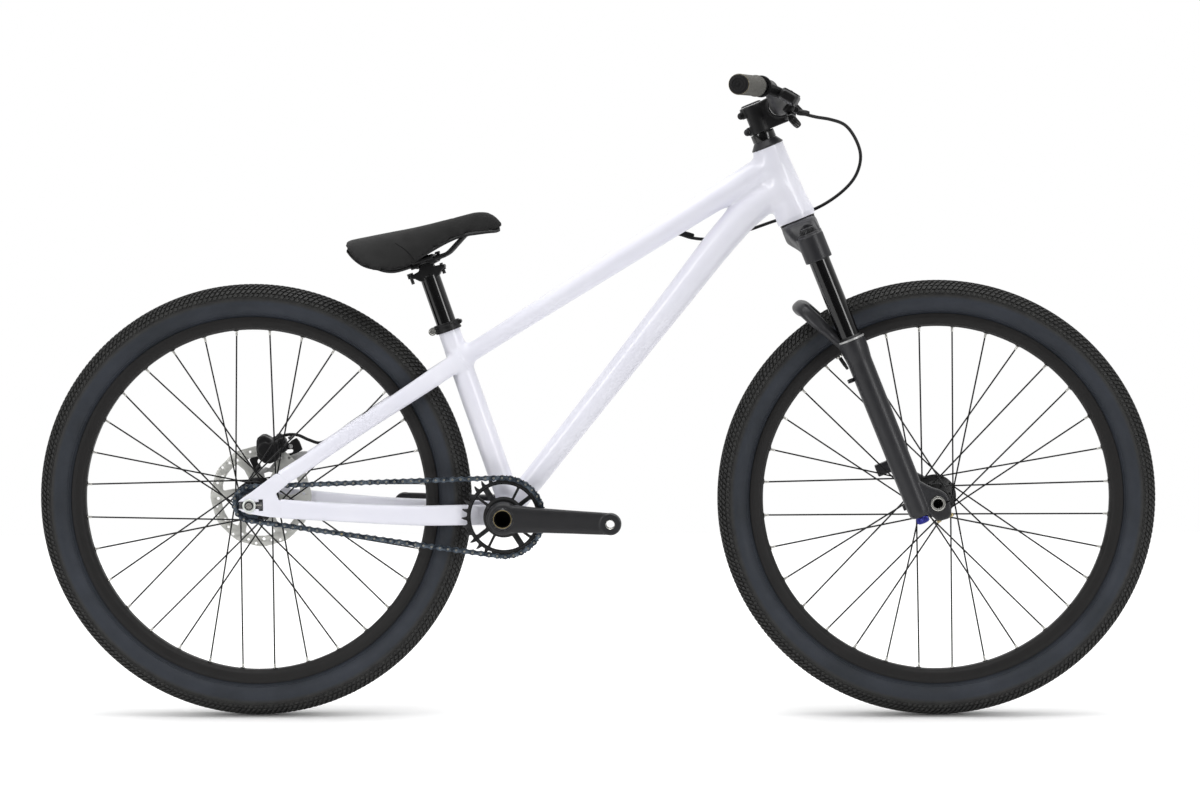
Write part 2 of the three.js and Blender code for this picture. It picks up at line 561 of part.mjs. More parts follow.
const ROTOR_WAVES = 12;
const rotorEdge = Array.from({ length: ROTOR_WAVES * 2 }, (_, i) =>
  polar(ROTOR_RADIUS - (i % 2 ? 2.5 : 0), (180 * i) / ROTOR_WAVES));
const rotorWindows = Array.from({ length: 6 }, (_, i) => [
  polar(62, 60 * i + 7), polar(63, 60 * i + 25), polar(62, 60 * i + 44), polar(62, 60 * i + 53),
  polar(27, 60 * i + 38), polar(27, 60 * i + 20), polar(27, 60 * i + 2)]);
const rotorHoles = [circle(17.3, ROUND_FACETS), ...rotorWindows];
piece("brake_rotor", plate(rotorEdge, ROTOR_Y - 0.9, ROTOR_Y + 0.9, rotorHoles), silver, rearWheel);
piece("rear_cog", plate(teeth(COG_TEETH, COG_PITCH_RADIUS), CHAIN_LINE - 1.2, CHAIN_LINE + 1.2,
  [circle(17.9, ROUND_FACETS)]).rotateY(-radians(pinAngle(REAR_AXLE, COG_PITCH_RADIUS))), steel, rearWheel);

// Fork. The steering group's Z runs up the steering axis, and its X is forward of it
const axleInFork = FRONT_AXLE.clone().applyMatrix4(steering.matrix.clone().invert());
const CROWN_TOP = -HEAD_TUBE_LENGTH - 1.3;
const SOCKET_TOP = CROWN_TOP - 26;
const SOCKET_BOTTOM = CROWN_TOP - 66;
const SOCKET_RADIUS = 21;
const crownRows = [[-64, 9.2, -165, 19.6, 20], [-50, 8.6, -158, 20.5, 21], [-34, 2.3, -140.5, 25, 19],
  [-18, 0.6, -136, 28, 15.6], [0, 0.4, -136, 28.2, 15.6], [18, 0.6, -136, 28, 15.6],
  [34, 2.3, -140.5, 25, 19], [50, 8.6, -158, 20.5, 21], [64, 9.2, -165, 19.6, 20]]
  .map(([y, x, z, wide, tall]) => [x, y, z, wide, tall]);
const legSides = [-FORK_LEG_HALF_SPACING, FORK_LEG_HALF_SPACING];
const sockets = legSides.map((y) =>
  upright(rod(SOCKET_RADIUS, SOCKET_BOTTOM, SOCKET_TOP)).translate(FORK_LEG_OFFSET, y, 0));
const socketBores = legSides.map((y) =>
  upright(rod(STANCHION_RADIUS + GAP, SOCKET_BOTTOM - 5, SOCKET_TOP - 6))
    .translate(FORK_LEG_OFFSET, y, 0));
const knobSeat = upright(rod(13.4, SOCKET_TOP, SOCKET_TOP + 40))
  .translate(FORK_LEG_OFFSET, legSides[0], 0);
const steerer = upright(turned([
  [0, -140], [19.5, -140], [19.5, -104], [STEERER_RADIUS, -80], [STEERER_RADIUS, 66], [0, 66]]));
const steererBore = upright(turned([
  [0, -160], [15, -160], [15, -104], [11.6, -78], [11.6, 80], [0, 80]], 12));
const crownRace = upright(rod(28, CROWN_TOP - 1, CROWN_TOP));
piece("crown_and_steerer", cut(join(
  bar(crownRows, 8, { across: [1, 0, 0], power: 3.4 }), steerer, crownRace, ...sockets),
steererBore, knobSeat, ...socketBores), charcoal, steering);

const STANCHION_BOTTOM = -492;
const stanchion = upright(turned([
  [STANCHION_RADIUS - 2, STANCHION_BOTTOM], [STANCHION_RADIUS, STANCHION_BOTTOM],
  [STANCHION_RADIUS, SOCKET_TOP - 6.4], [STANCHION_RADIUS - 2, SOCKET_TOP - 6.4]]));
piece("right_stanchion", stanchion.clone().translate(FORK_LEG_OFFSET, legSides[0], 0), gloss, steering);
piece("left_stanchion", stanchion.clone().translate(FORK_LEG_OFFSET, legSides[1], 0), gloss, steering);

const knobProfile = (low, high) => [[0, low], [12.4, low], [12.4, high - 2], [10.6, high], [0, high]];
piece("compression_knob", upright(turned(knobProfile(SOCKET_TOP + GAP, SOCKET_TOP + 12), 14))
  .translate(FORK_LEG_OFFSET, legSides[0], 0), black, steering);
piece("rebound_knob", upright(turned([[0, -617], [9.2, -617], [9.9, -614], [9.9, -606.6], [0, -606.6]], 12))
  .translate(FORK_LEG_OFFSET - 1, legSides[0], 0), blue, steering);

const LEG_TOP = -316;
const LEG_BOTTOM = -606;
const leg = upright(turned([
  [0, LEG_BOTTOM], [14.5, LEG_BOTTOM], [17.8, LEG_BOTTOM + 5], [18.8, -352], [21, -334],
  [21, -320], [19.2, LEG_TOP], [0, LEG_TOP]]));
const legBore = upright(rod(STANCHION_RADIUS + 0.4, LEG_BOTTOM + 9, LEG_TOP + 90));
const [ax, az] = [axleInFork.x, axleInFork.z];
const lugOutline = [
  [18, -546], [26, -556], [38, -570], [49, -579], [55.5, -588], [56.8, -598], [54.5, -609],
  [51.5, -619], [46, -624], [28, -622], [19.5, -604.5], [12, -602], [12, -548]];
const lug = plate(lugOutline, -75.4, -FRONT_HUB_HALF_WIDTH);
const arch = bar([
  [-3, -64, -328, 6, 9], [-14, -63, -302, 6.5, 10], [-29, -58, -274, 7, 10.5], [-40, -44, -252, 8, 10.5],
  [-45.5, -22, -247, 10, 10.5], [-46.5, 0, -246.5, 10, 10.5], [-45.5, 22, -247, 10, 10.5],
  [-40, 44, -252, 8, 10.5], [-29, 58, -274, 7, 10.5], [-14, 63, -302, 6.5, 10], [-3, 64, -328, 6, 9]],
12, { across: [0.35, 0, -0.94], power: 2.6 });
const tabs = [block([-32, 0], [FORK_LEG_HALF_SPACING - 8, FORK_LEG_HALF_SPACING + 8], [-541, -522]),
  block([-15, 0], [FORK_LEG_HALF_SPACING - 8, FORK_LEG_HALF_SPACING + 8], [-606, -596.5])];
const legs = legSides.map((y) => leg.clone().translate(FORK_LEG_OFFSET, y, 0));
const legBores = legSides.map((y) => legBore.clone().translate(FORK_LEG_OFFSET, y, 0));
piece("fork_lowers", cut(join(...legs, arch, lug, mirrored(lug), ...tabs),
  ...legBores, rod(10.4, -90, 90).translate(ax, 0, az)), charcoal, steering);
piece("front_axle", turned([
  [7.6, -77.6], [11.4, -77.6], [11.4, -75.7], [10, -75.7], [10, 76], [7.6, 76]])
  .translate(ax, 0, az), silver, steering);

// Cockpit: headset cover and spacer, stem, handlebar, grips
piece("headset_cover", upright(turned([
  [STEERER_RADIUS + GAP, 0.5], [25, 0.5], [25, 2], [18, 11.3], [18, 24.2],
  [STEERER_RADIUS + GAP, 24.2]])), gloss, steering);
const BAR_AT = [40.4, 52.8];
const STEM_TOP = 68.9;
const stemSide = [[-14, 24.8], [44, 24.8], [50, 30], [56, 36], [59.5, 46], [58.5, 61], [49, 70.8],
  [30, 70.8], [12, STEM_TOP], [-14, STEM_TOP]];
const stemBoss = (z) => rod(5.5, -15, 15, 8).translate(-20.5, 0, z);
const stem = cut(join(
  plate(stemSide, -16, 16),
  upright(rod(19.5, 24.8, STEM_TOP)),
  rod(19.8, -26, 26).translate(BAR_AT[0], 0, BAR_AT[1]),
  stemBoss(59),
  stemBoss(32.2)),
upright(rod(STEERER_RADIUS + GAP, 0, 90)),
block([-30, -15.6], [-30, 30], [39, 52]),
rod(BAR_CLAMP_RADIUS + 0.8, -60, 60).translate(BAR_AT[0], 0, BAR_AT[1]));
piece("stem", stem, black, steering);
piece("stem_top_cap", upright(turned([[0, 69.4], [16, 69.4], [16, 71], [13.5, 71.9], [4, 71.9],
  [3.6, 70.6], [0, 70.6]], 12)), black, steering);

// The bar's height above its clamp and how far it sweeps back, both against distance from the middle
const clampAt = new THREE.Vector3(BAR_AT[0], 0, BAR_AT[1]).applyMatrix4(steering.matrix);
const BAR_RISE = 31;
const BAR_SWEEP = 60.5;
const barAt = (y) => {
  const out = Math.abs(y);
  const back = (BAR_SWEEP * Math.max(0, out - BAR_CLAMP_HALF)) / (BAR_HALF_WIDTH - BAR_CLAMP_HALF);
  const bend = THREE.MathUtils.smoothstep(out, 50, 145);
  const outer = (4 * Math.max(0, out - 145)) / (BAR_HALF_WIDTH - 145);
  return [clampAt.x - back, y, clampAt.z + (BAR_RISE - 4) * bend + outer];
};
const barHalf = [[BAR_CLAMP_HALF, BAR_CLAMP_RADIUS], [72, 12.6], [98, BAR_GRIP_RADIUS],
  [145, BAR_GRIP_RADIUS], [BAR_HALF_WIDTH, BAR_GRIP_RADIUS]];
const barStations = [...[...barHalf].reverse().map(([y, r]) => [-y, r]), ...barHalf].map(([y, r]) => {
  const [before, after] = [Math.max(-BAR_HALF_WIDTH, y - 2), Math.min(BAR_HALF_WIDTH, y + 2)];
  const along = new THREE.Vector3(...barAt(after)).sub(new THREE.Vector3(...barAt(before))).normalize();
  return { at: new THREE.Vector3(...barAt(y)), along, half: [r, r] };
});
const barSkin = { across: [0, 0, 1] };
piece("handlebar", inGroup(skin([...rings(barStations, barSkin),
  ...rings(barStations, { ...barSkin, inset: 2 }).reverse()], true), steering), black, steering);

const GRIP_LENGTH = 133;
function grip(side) {
  const sleeve = cut(
    turned([[0, 0], [15.8, 0], [15.8, 3], [15, 5], [15, GRIP_LENGTH], [13, GRIP_LENGTH + 3],
      [0, GRIP_LENGTH + 3]], 12),
    rod(BAR_GRIP_RADIUS + 2 * GAP, -5, GRIP_LENGTH + GAP, 12));
  const end = new THREE.Vector3(...barAt(side * BAR_HALF_WIDTH));
  const along = end.clone().sub(new THREE.Vector3(...barAt(side * 200))).normalize();
  const turn = new THREE.Quaternion().setFromUnitVectors(new THREE.Vector3(0, 1, 0), along);
  const from = end.clone().addScaledVector(along, -GRIP_LENGTH);
  return inGroup(sleeve.applyQuaternion(turn).translate(from.x, from.y, from.z), steering);
}
piece("right_grip", grip(-1), grey, steering);
piece("left_grip", grip(1), grey, steering);

// Brake lever on the right of the bar, its hose, and the calliper at the rear
const LEVER_Y = -206;
const leverAt = barAt(LEVER_Y);
const pivot = [301, -186, 938];
const leverClamp = join(
  rod(16.4, LEVER_Y - 6, LEVER_Y + 6, 14).translate(leverAt[0], 0, leverAt[2]),
  bar([[leverAt[0] + 12, LEVER_Y, leverAt[2] - 4, 5.5, 9], [leverAt[0] + 30, LEVER_Y + 4, 957.5, 5.5, 8],
    [302, LEVER_Y + 8, 949, 5.5, 7]], 4, { sides: 8, power: 3 }),
  bar([[301, -164, 953, 7, 10], [300, -190, 954, 10, 13], [297, -222, 956, 10, 13], [295, -243, 957, 8, 10]],
    5, { across: [0.5, 0, 0.87], sides: 10, power: 2.6 }),
  rod(4.6, -178, -160, 8).translate(311, 0, 934),
  block([302, 312], [-178, -166], [934, 950]));
const barHole = bar([[...barAt(-160), 11.5, 11.5], [...barAt(-250), 11.5, 11.5]], 1,
  { across: [0, 0, 1], sides: 14 });
piece("brake_lever_body", inGroup(cut(leverClamp, barHole), steering), black, steering);
const blade = join(
  rod(5, pivot[1] - 4, pivot[1] + 4, 8).translate(pivot[0], 0, pivot[2] - 9),
  bar([[302, -184, 929, 3.6, 5], [306, -204, 925, 3.4, 5.4], [309, -230, 920, 3.2, 5.4],
    [310, -262, 917, 3.4, 5.4], [309, -288, 915, 4, 6], [312, -299, 912, 4.4, 5]], 9,
  { across: [0.77, 0, -0.64], sides: 8, power: 2.6 }));
piece("brake_lever_blade", inGroup(blade, steering), black, steering);

// The hose is held all the way, from the lever round the head tube and along the frame to the calliper
const hoseRoute = [
  [319, -172, 929], [340, -166, 923.5], [362, -152, 919.5], [384, -132, 911], [401, -105, 889],
  [409, -78, 863], [402, -42, 832.5], [380, -6, 806], [343, 31, 781.5], [313, 42, 772], [281, 44, 762.8],
  [240, 44, 749], [204, 42, 740], [176, 37.5, 735.5], [152, 30, 738], [130, 24, 744.5],
  [112, 21.5, 743], [60, 20.4, 711.5], [0, 19.6, 674.8], [-60, 19, 637.9], [-120, 18.6, 601],
  [-170, 21, 569], [-205, 27, 548],
  [-228, 36, 541], [-250, 45, 537], [-280, 53.5, 518], [-330, 62.5, 485.5], [-380, 71, 452.5],
  [-412, 76, 430], [-434, 77, 418], [-452, 72.5, 423.5], [-467, 67, 431], [-480, 64.5, 432.5],
  [-491.4, 63, 430.6]];
const hosePath = new THREE.CatmullRomCurve3(hoseRoute.map((p) => new THREE.Vector3(...p)));
const hoseSection = new THREE.Shape(circle(HOSE_RADIUS, 7).map(([x, y]) => new THREE.Vector2(x, y)));
const hose = new THREE.ExtrudeGeometry(hoseSection, { steps: 44, extrudePath: hosePath });
piece("brake_hose", hose, black, frame);

const CALLIPER_AT = [REAR_AXLE.x + 10, REAR_AXLE.z + 75];
const calliperSlot = 5.1;
const MOUNT_Y = [ROTOR_Y + 4.2, ROTOR_Y + 11.2];
const [cx, cz] = CALLIPER_AT;
const calliperBody = join(
  bar([[cx, ROTOR_Y - 15, cz, 14, 18], [cx, ROTOR_Y - 13, cz, 16.5, 20], [cx, ROTOR_Y + 15, cz, 16.5, 20],
    [cx, ROTOR_Y + 17.5, cz, 14, 17]], 3, { across: [1, 0, 0], sides: 14 }),
  plate([[cx + 8, cz + 4], [cx + 26, cz + 14], [cx + 40, cz + 15], [cx + 47.5, cz + 4],
    [cx + 47.5, cz - 7.3], [cx + 33.5, cz - 11.9], [cx + 26, cz - 9], [cx + 12, cz - 8]], ...MOUNT_Y),
  plate([[cx - 8, cz - 2], [cx - 26, cz - 6], [cx - 29, cz - 18], [cx - 14, cz - 36], [cx - 4, cz - 30],
    [cx - 8, cz - 16]], ...MOUNT_Y),
  bar([[-510, 62, 422, 4, 4], [-493.6, 62.8, 429.8, 4, 4]], 1, { across: [0, 0, 1] }));
piece("brake_calliper", cut(calliperBody,
  block([cx - 60, cx + 60], [ROTOR_Y - calliperSlot, ROTOR_Y + calliperSlot], [cz - 60, cz + 11])),
black, frame);
const pad = (inner, outer) => plate([[cx - 11, cz - 12], [cx + 11, cz - 12], [cx + 11, cz + 6],
  [cx, cz + 9], [cx - 11, cz + 6]], inner, outer);
piece("right_brake_pad", pad(ROTOR_Y - 4.7, ROTOR_Y - 1.5), steel, frame);
piece("left_brake_pad", pad(ROTOR_Y + 1.5, ROTOR_Y + 4.7), steel, frame);
const adapter = plate([[-532, 372.5], [-523, 355], [-508, 352], [-494, 368], [-478, 382], [-462, 398],
  [-453, 399], [-453, 406.5], [-461, 406.3], [-482, 399.5], [-497, 390], [-505, 389], [-513, 380],
  [-519.3, 381.4], [-529.3, 375.4]], ...MOUNT_Y);
const leftStay = bar(seatstayRows.map(([x, y, z, a, b]) => [x, -y, z, a + GAP, b + GAP]), 6,
  { power: 2.4 });
piece("brake_adapter", cut(adapter, leftStay), silver, frame);

// Seat: post and head in the seat group, whose Z runs up the post
const PIVOT_UP = 100;
const PIVOT_RADIUS = 12.4;
const pivotArc = (radius) => Array.from({ length: 13 }, (_, i) => polar(radius, 15 * i))
  .map(([x, z]) => [x, z + PIVOT_UP]);
const post = upright(rod(SEATPOST_RADIUS, -150, 98));
const postBore = upright(rod(SEATPOST_RADIUS - 2.2, -160, 82, 12));
const head = plate([[-15, 84], [15, 84], [22, 93], [28, 95], [28, 99.5], [16, 101.5],
  ...pivotArc(PIVOT_RADIUS), [-16, 101.5], [-28, 99.5], [-28, 95], [-22, 93]], -13, 13);
piece("seatpost", cut(join(post, head, upright(rod(4.6, 89, 98, 8)).translate(23, 0, 0),
  upright(rod(4.6, 89, 98, 8)).translate(-23, 0, 0)), postBore), gloss, seat);

const RAIL_RADIUS = 3.5;
const RAIL_Y = 22;
const railRows = [
  [-353, 33, 708], [-338, 30, 702], [-320, 25, 694], [-302, RAIL_Y, 692.5], [-268, RAIL_Y, 702.6],
  [-235, RAIL_Y, 712.6], [-222, 21, 718], [-207, 17.5, 733], [-196, 13, 744.5], [-188, 7, 750]];
const railPath = [...railRows.map(([x, y, z]) => [x, -y, z]), ...[...railRows].reverse()]
  .map((row) => [...row, RAIL_RADIUS, RAIL_RADIUS]);
const rails = (grow) => bar(railPath.map(([x, y, z, a, b]) => [x, y, z, a + grow, b + grow]), 22,
  { across: [0, 0, 1], sides: 6 });
piece("saddle_rails", inGroup(rails(0), seat), black, seat);

const clampTilt = radians(16.8);
const railAtPost = new THREE.Vector3(-258.4, 0, 705.5);
const clampBlock = new THREE.BoxGeometry(46, 56, 15).rotateY(-clampTilt)
  .translate(railAtPost.x, 0, railAtPost.z);
const headClearance = inWorld(plate([[-16, 80], [16, 80], ...pivotArc(PIVOT_RADIUS + 0.6)], -40, 40), seat);
piece("rail_clamp", inGroup(cut(clampBlock, rails(0.4), headClearance), seat), black, seat);

// Saddle shell and padded cover, as slices across it: place, top, edge, half width and padding depth
const saddleSlices = [
  [-380, 737.5, 733, 22], [-377, 739.4, 729, 37], [-368, 741.4, 718, 52], [-352, 744.2, 703.5, 62.5],
  [-330, 748.3, 693.5, 66.5], [-305, 753, 691.5, 63], [-280, 757.6, 697.5, 52], [-253, 763.8, 715, 39],
  [-225, 770, 731.5, 28], [-199, 776.2, 742.8, 22.5], [-175, 781, 749.4, 20.5], [-156, 779.2, 752.8, 18],
  [-144, 772.8, 755, 13.5], [-137, 765, 757.2, 7]];
const edgeFall = 2.8;
const topAt = ([, top, edge, half], y) => top - (top - edge) * Math.min(1, Math.abs(y) / half) ** edgeFall;
function saddleRing(slice, shares, lowerShares, depthMiddle, depthEdge) {
  const [x, , , half] = slice;
  const upper = shares.map((share) => new THREE.Vector3(x, share * half, topAt(slice, share * half)));
  const lower = lowerShares.map((share) => {
    const y = share * half;
    const depth = depthEdge + (depthMiddle - depthEdge) * (1 - Math.abs(share) ** 3);
    return new THREE.Vector3(x, y, topAt(slice, y) - depth);
  });
  return [...upper, ...lower];
}
const across = [-1, -0.93, -0.8, -0.58, -0.3, 0, 0.3, 0.58, 0.8, 0.93, 1];
const underneath = [0.86, 0.6, 0.3, 0, -0.3, -0.6, -0.86];
const cover = skin(saddleSlices.map((slice, i) => {
  const end = i === 0 || i === saddleSlices.length - 1;
  return saddleRing(slice, across, underneath, end ? 7 : 17, end ? 3 : 4);
}));
piece("saddle_cover", inGroup(cover, seat), rubber, seat);
const shellSlices = saddleSlices.slice(2, -2);
const base = skin(shellSlices.map(([x, top, edge, half]) => {
  const slice = [x, top, edge, half];
  const dip = (share) => 4 + 13 * (1 - Math.abs(share) ** 3);
  const line = (extra) => underneath.map((share) =>
    new THREE.Vector3(x, share * half, topAt(slice, share * half) - dip(share) - extra));
  return [...line(0.9), ...line(3.4).reverse()];
}));
piece("saddle_base", inGroup(base, seat), black, seat);

export default bicycle;
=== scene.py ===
# Looks of the dirt jump bicycle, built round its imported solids.
# Shapes are written in millimetres, as the solids are, and made in metres. +X is forward, -Y the drive side.
import math

import bmesh
import bpy
import numpy as np
from mathutils import Matrix, Vector
from mathutils.bvhtree import BVHTree


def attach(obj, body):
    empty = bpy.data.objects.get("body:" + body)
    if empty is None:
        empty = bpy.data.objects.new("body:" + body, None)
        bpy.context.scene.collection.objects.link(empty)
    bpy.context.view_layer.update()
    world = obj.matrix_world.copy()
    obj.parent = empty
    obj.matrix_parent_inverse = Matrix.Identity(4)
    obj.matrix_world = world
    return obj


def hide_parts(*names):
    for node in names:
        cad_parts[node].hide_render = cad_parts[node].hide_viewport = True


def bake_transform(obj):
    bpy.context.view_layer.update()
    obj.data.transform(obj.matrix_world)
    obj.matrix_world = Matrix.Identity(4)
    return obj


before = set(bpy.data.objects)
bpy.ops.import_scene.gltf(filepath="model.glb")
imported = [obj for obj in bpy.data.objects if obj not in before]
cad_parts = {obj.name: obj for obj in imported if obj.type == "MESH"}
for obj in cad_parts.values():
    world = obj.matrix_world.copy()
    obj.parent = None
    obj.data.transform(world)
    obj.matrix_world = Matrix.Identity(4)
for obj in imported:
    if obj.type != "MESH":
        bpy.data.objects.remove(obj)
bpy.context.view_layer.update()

MM = 0.001
TURN = 2 * math.pi

# Driving dimensions, as in the solids
WHEELBASE = 1050.9
TYRE_RADIUS = 336.8
REAR_AXLE = (-WHEELBASE / 2, 0, TYRE_RADIUS)
FRONT_AXLE = (WHEELBASE / 2, 0, TYRE_RADIUS)
BB = (-137.07, 0, 314.8)
STEERING_LEAN = 21.6
HEAD_TUBE_TOP = (270, 0, 877)
HEAD_TUBE_LENGTH = 119
SEAT_TUBE_LEAN = 18.8
SEAT_TUBE_TOP = (-221.8, 0, 598)
SEATPOST_RADIUS = 15.45
CHAIN_PITCH = 12.7
CHAIN_LINE = -48
CHAIN_PITCHES = 83
RING_TEETH = 30
COG_TEETH = 13
CRANK_LENGTH = 165
CRANK_DROOP = 2.65
ROTOR_Y = 54
SPOKE_RADIUS = 1.25
SPOKES = 32
SPOKE_HOLE_STEP = 360 / SPOKES
THREE_CROSSINGS = 6 * SPOKE_HOLE_STEP
TREAD_BLOCKS = 252
TREAD_RADIUS = 330


def turned_about(place, degrees):
    """The matrix of a group that stands at a place and leans about Y."""
    return Matrix.Translation(place) @ Matrix.Rotation(math.radians(degrees), 4, "Y")


STEERING = turned_about(HEAD_TUBE_TOP, -STEERING_LEAN)
SEAT = turned_about(SEAT_TUBE_TOP, -SEAT_TUBE_LEAN)
CRANKS = turned_about(BB, CRANK_DROOP)
REAR = Matrix.Translation(REAR_AXLE)
FRONT = Matrix.Translation(FRONT_AXLE)


# Shapes: a pair of points in millimetres and faces
def merged(*shapes):
    points, faces, start = [], [], 0
    for p, f in shapes:
        points.append(np.asarray(p, float).reshape(-1, 3))
        faces += [tuple(i + start for i in face) for face in f]
        start += len(points[-1])
    return np.vstack(points), faces


def placed(shape, matrix):
    points, faces = shape
    m = np.array(matrix)
    flip = np.linalg.det(m[:3, :3]) < 0
    return points @ m[:3, :3].T + m[:3, 3], [f[::-1] for f in faces] if flip else faces


def shifted(shape, x=0, y=0, z=0):
    return shape[0] + np.array((x, y, z), float), shape[1]


MIRROR = Matrix.Diagonal((1, -1, 1, 1))
UPRIGHT = Matrix.Rotation(math.radians(90), 4, "X")
LENGTHWAYS = Matrix.Rotation(math.radians(90), 4, "Z")


def mirrored(shape):
    return placed(shape, MIRROR)


def on_side(shape, sign):
    """A shape made for the left side, on the side that a sign of Y names."""
    return shape if sign > 0 else mirrored(shape)


def upright(shape):
    """A shape turned about Y stood up, so that its axis is Z."""
    return placed(shape, UPRIGHT)


def aimed(shape, at, towards):
    """A shape whose axis is Y, moved to a place with its +Y along a direction."""
    turn = Vector((0, 1, 0)).rotation_difference(Vector(towards)).to_matrix().to_4x4()
    return placed(shape, Matrix.Translation(at) @ turn)


def loft(rings):
    """Rings of points joined into a bar with closed ends."""
    rings = [np.asarray(r, float) for r in rings]
    sides = len(rings[0])
    last = (len(rings) - 1) * sides
    faces = []
    for a in range(0, last, sides):
        b = a + sides
        faces += [(a + j, a + (j + 1) % sides, b + (j + 1) % sides, b + j) for j in range(sides)]
    faces += [tuple(range(sides - 1, -1, -1)), tuple(range(last, last + sides))]
    return np.vstack(rings), faces


def curve_through(points, per_span):
    """A centripetal curve through points: its places and directions."""
    p = np.asarray(points, float)
    p = np.vstack([2 * p[0] - p[1], p, 2 * p[-1] - p[-2]])
    places, ways = [], []
    for i in range(1, len(p) - 2):
        gaps = [max(np.linalg.norm(p[i + k] - p[i + k - 1]) ** 0.5, 1e-4) for k in (0, 1, 2)]
        start = (p[i] - p[i - 1]) / gaps[0] - (p[i + 1] - p[i - 1]) / (gaps[0] + gaps[1])
        start = (start + (p[i + 1] - p[i]) / gaps[1]) * gaps[1]
        stop = (p[i + 1] - p[i]) / gaps[1] - (p[i + 2] - p[i]) / (gaps[1] + gaps[2])
        stop = (stop + (p[i + 2] - p[i + 1]) / gaps[2]) * gaps[1]
        last = i == len(p) - 3
        for t in np.linspace(0, 1, per_span + 1)[: per_span + (1 if last else 0)]:
            rise = 3 * (p[i + 1] - p[i]) - 2 * start - stop
            bend = 2 * (p[i] - p[i + 1]) + start + stop
            places.append(p[i] + t * start + t * t * rise + t ** 3 * bend)
            way = start + 2 * t * rise + 3 * t * t * bend
            ways.append(way / max(np.linalg.norm(way), 1e-9))
    return np.array(places), np.array(ways)


def section(sides, power=2.0):
    """The corners of a unit ellipse, squarer with a higher power."""
    turn = (np.arange(sides) + 0.5) * TURN / sides
    c, s = np.cos(turn), np.sin(turn)
    return np.sign(c) * np.abs(c) ** (2 / power), np.sign(s) * np.abs(s) ** (2 / power)


def frames(ways, across):
    """For each direction, the two directions across it, the first near to across."""
    wide = np.asarray(across, float) - (ways @ np.asarray(across, float))[:, None] * ways
    wide /= np.linalg.norm(wide, axis=1)[:, None]
    return wide, np.cross(ways, wide)


def stations(rows, per_span):
    """Rows of place and half sizes, [x, y, z, half width, half height], smoothed into stations."""
    rows = np.asarray(rows, float)
    places, ways = curve_through(rows[:, :3], per_span)
    share = np.linspace(0, len(rows) - 1, len(places))
    halves = np.stack([np.interp(share, range(len(rows)), rows[:, k]) for k in (3, 4)], 1)
    for _ in range(per_span // 2):
        halves[1:-1] = (halves[:-2] + 2 * halves[1:-1] + halves[2:]) / 4
    return places, ways, halves


def sweep(rows, per_span=6, sides=32, power=2.0, across=(0, 1, 0), round_ends=0.0):
    """A bar that follows its rows; its ends are rounded over where asked."""
    places, ways, halves = stations(rows, per_span)
    wide, tall = frames(ways, across)
    c, s = section(sides, power)

    def ring(i, grow=0.0, along=0.0):
        a, b = halves[i] + grow
        return places[i] + ways[i] * along + np.outer(c * a, wide[i]) + np.outer(s * b, tall[i])

    rings = [ring(i) for i in range(len(places))]
    if round_ends:
        turns = [math.radians(t) for t in (90, 60, 30)]
        first = [ring(0, -round_ends * (1 - math.cos(t)), -round_ends * math.sin(t)) for t in turns]
        rings = first + rings + [
            ring(-1, -round_ends * (1 - math.cos(t)), round_ends * math.sin(t)) for t in turns[::-1]]
    return loft(rings)


def wire(points, radius, sides, per_span):
    """A round wire along points, with a section that doesn't twist."""
    places, ways = curve_through(points, per_span)
    side = np.cross(ways[0], (0.123, 0.456, 0.881))
    rings = []
    c, s = section(sides)
    for place, way in zip(places, ways):
        side = side - way * (side @ way)
        side /= np.linalg.norm(side)
        rings.append(place + radius * (np.outer(c, side) + np.outer(s, np.cross(way, side))))
    return loft(rings)


def rounded(outline, radius, steps=3, closed=True):
    """An outline of [u, v] points with each corner rounded; a third number in a point is its own radius."""
    result = []
    count = len(outline)
    for i, corner in enumerate(outline):
        here = np.array(corner[:2], float)
        r = corner[2] if len(corner) > 2 else radius
        if r <= 0 or (not closed and i in (0, count - 1)):
            result.append(tuple(here))
            continue
        back = np.array(outline[i - 1][:2], float) - here
        ahead = np.array(outline[(i + 1) % count][:2], float) - here
        lengths = np.linalg.norm(back), np.linalg.norm(ahead)
        back, ahead = back / lengths[0], ahead / lengths[1]
        half = math.acos(max(-1, min(1, back @ ahead))) / 2
        if half > math.radians(88) or half < math.radians(2):
            result.append(tuple(here))
            continue
        cut = min(r / math.tan(half), 0.48 * min(lengths))
        a, b = here + back * cut, here + ahead * cut
        for t in np.linspace(0, 1, steps + 1):
            point = (1 - t) ** 2 * a + 2 * t * (1 - t) * here + t * t * b
            result.append(tuple(point))
    return result


def lathe(profile, segments=96, radius=0.0, steps=3):
    """A profile of [radius, place] turned about Y; it closes on itself unless it meets the axis."""
    closed = all(p[0] > 1e-6 for p in profile)
    if radius:
        profile = rounded(profile, radius, steps, closed)
    turn = np.arange(segments) * TURN / segments
    points, rings = [], []
    for r, y in profile:
        if r < 1e-6:
            rings.append([len(points)] * segments)
            points.append((0, y, 0))
        else:
            rings.append(list(range(len(points), len(points) + segments)))
            points += [(r * math.cos(t), y, r * math.sin(t)) for t in turn]
    faces = []
    for a, b in zip(rings, rings[1:] + ([rings[0]] if closed else [])):
        for j in range(segments):
            k = (j + 1) % segments
            face = tuple(dict.fromkeys((a[j], a[k], b[k], b[j])))
            if len(face) > 2:
                faces.append(face)
    return np.array(points, float), faces


def hoop(inner, outer, low, high, bevel=0.0, segments=96, steps=3):
    """A ring about Y with a rectangular section."""
    return lathe([(inner, low), (outer, low), (outer, high), (inner, high)], segments, bevel, steps)


def rod(radius, low, high, bevel=0.4, segments=48):
    """A round bar along Y with eased ends."""
    return lathe([(0, low), (radius, low), (radius, high), (0, high)], segments, bevel, 2)


def polar(radius, degrees):
    return radius * math.cos(math.radians(degrees)), radius * math.sin(math.radians(degrees))


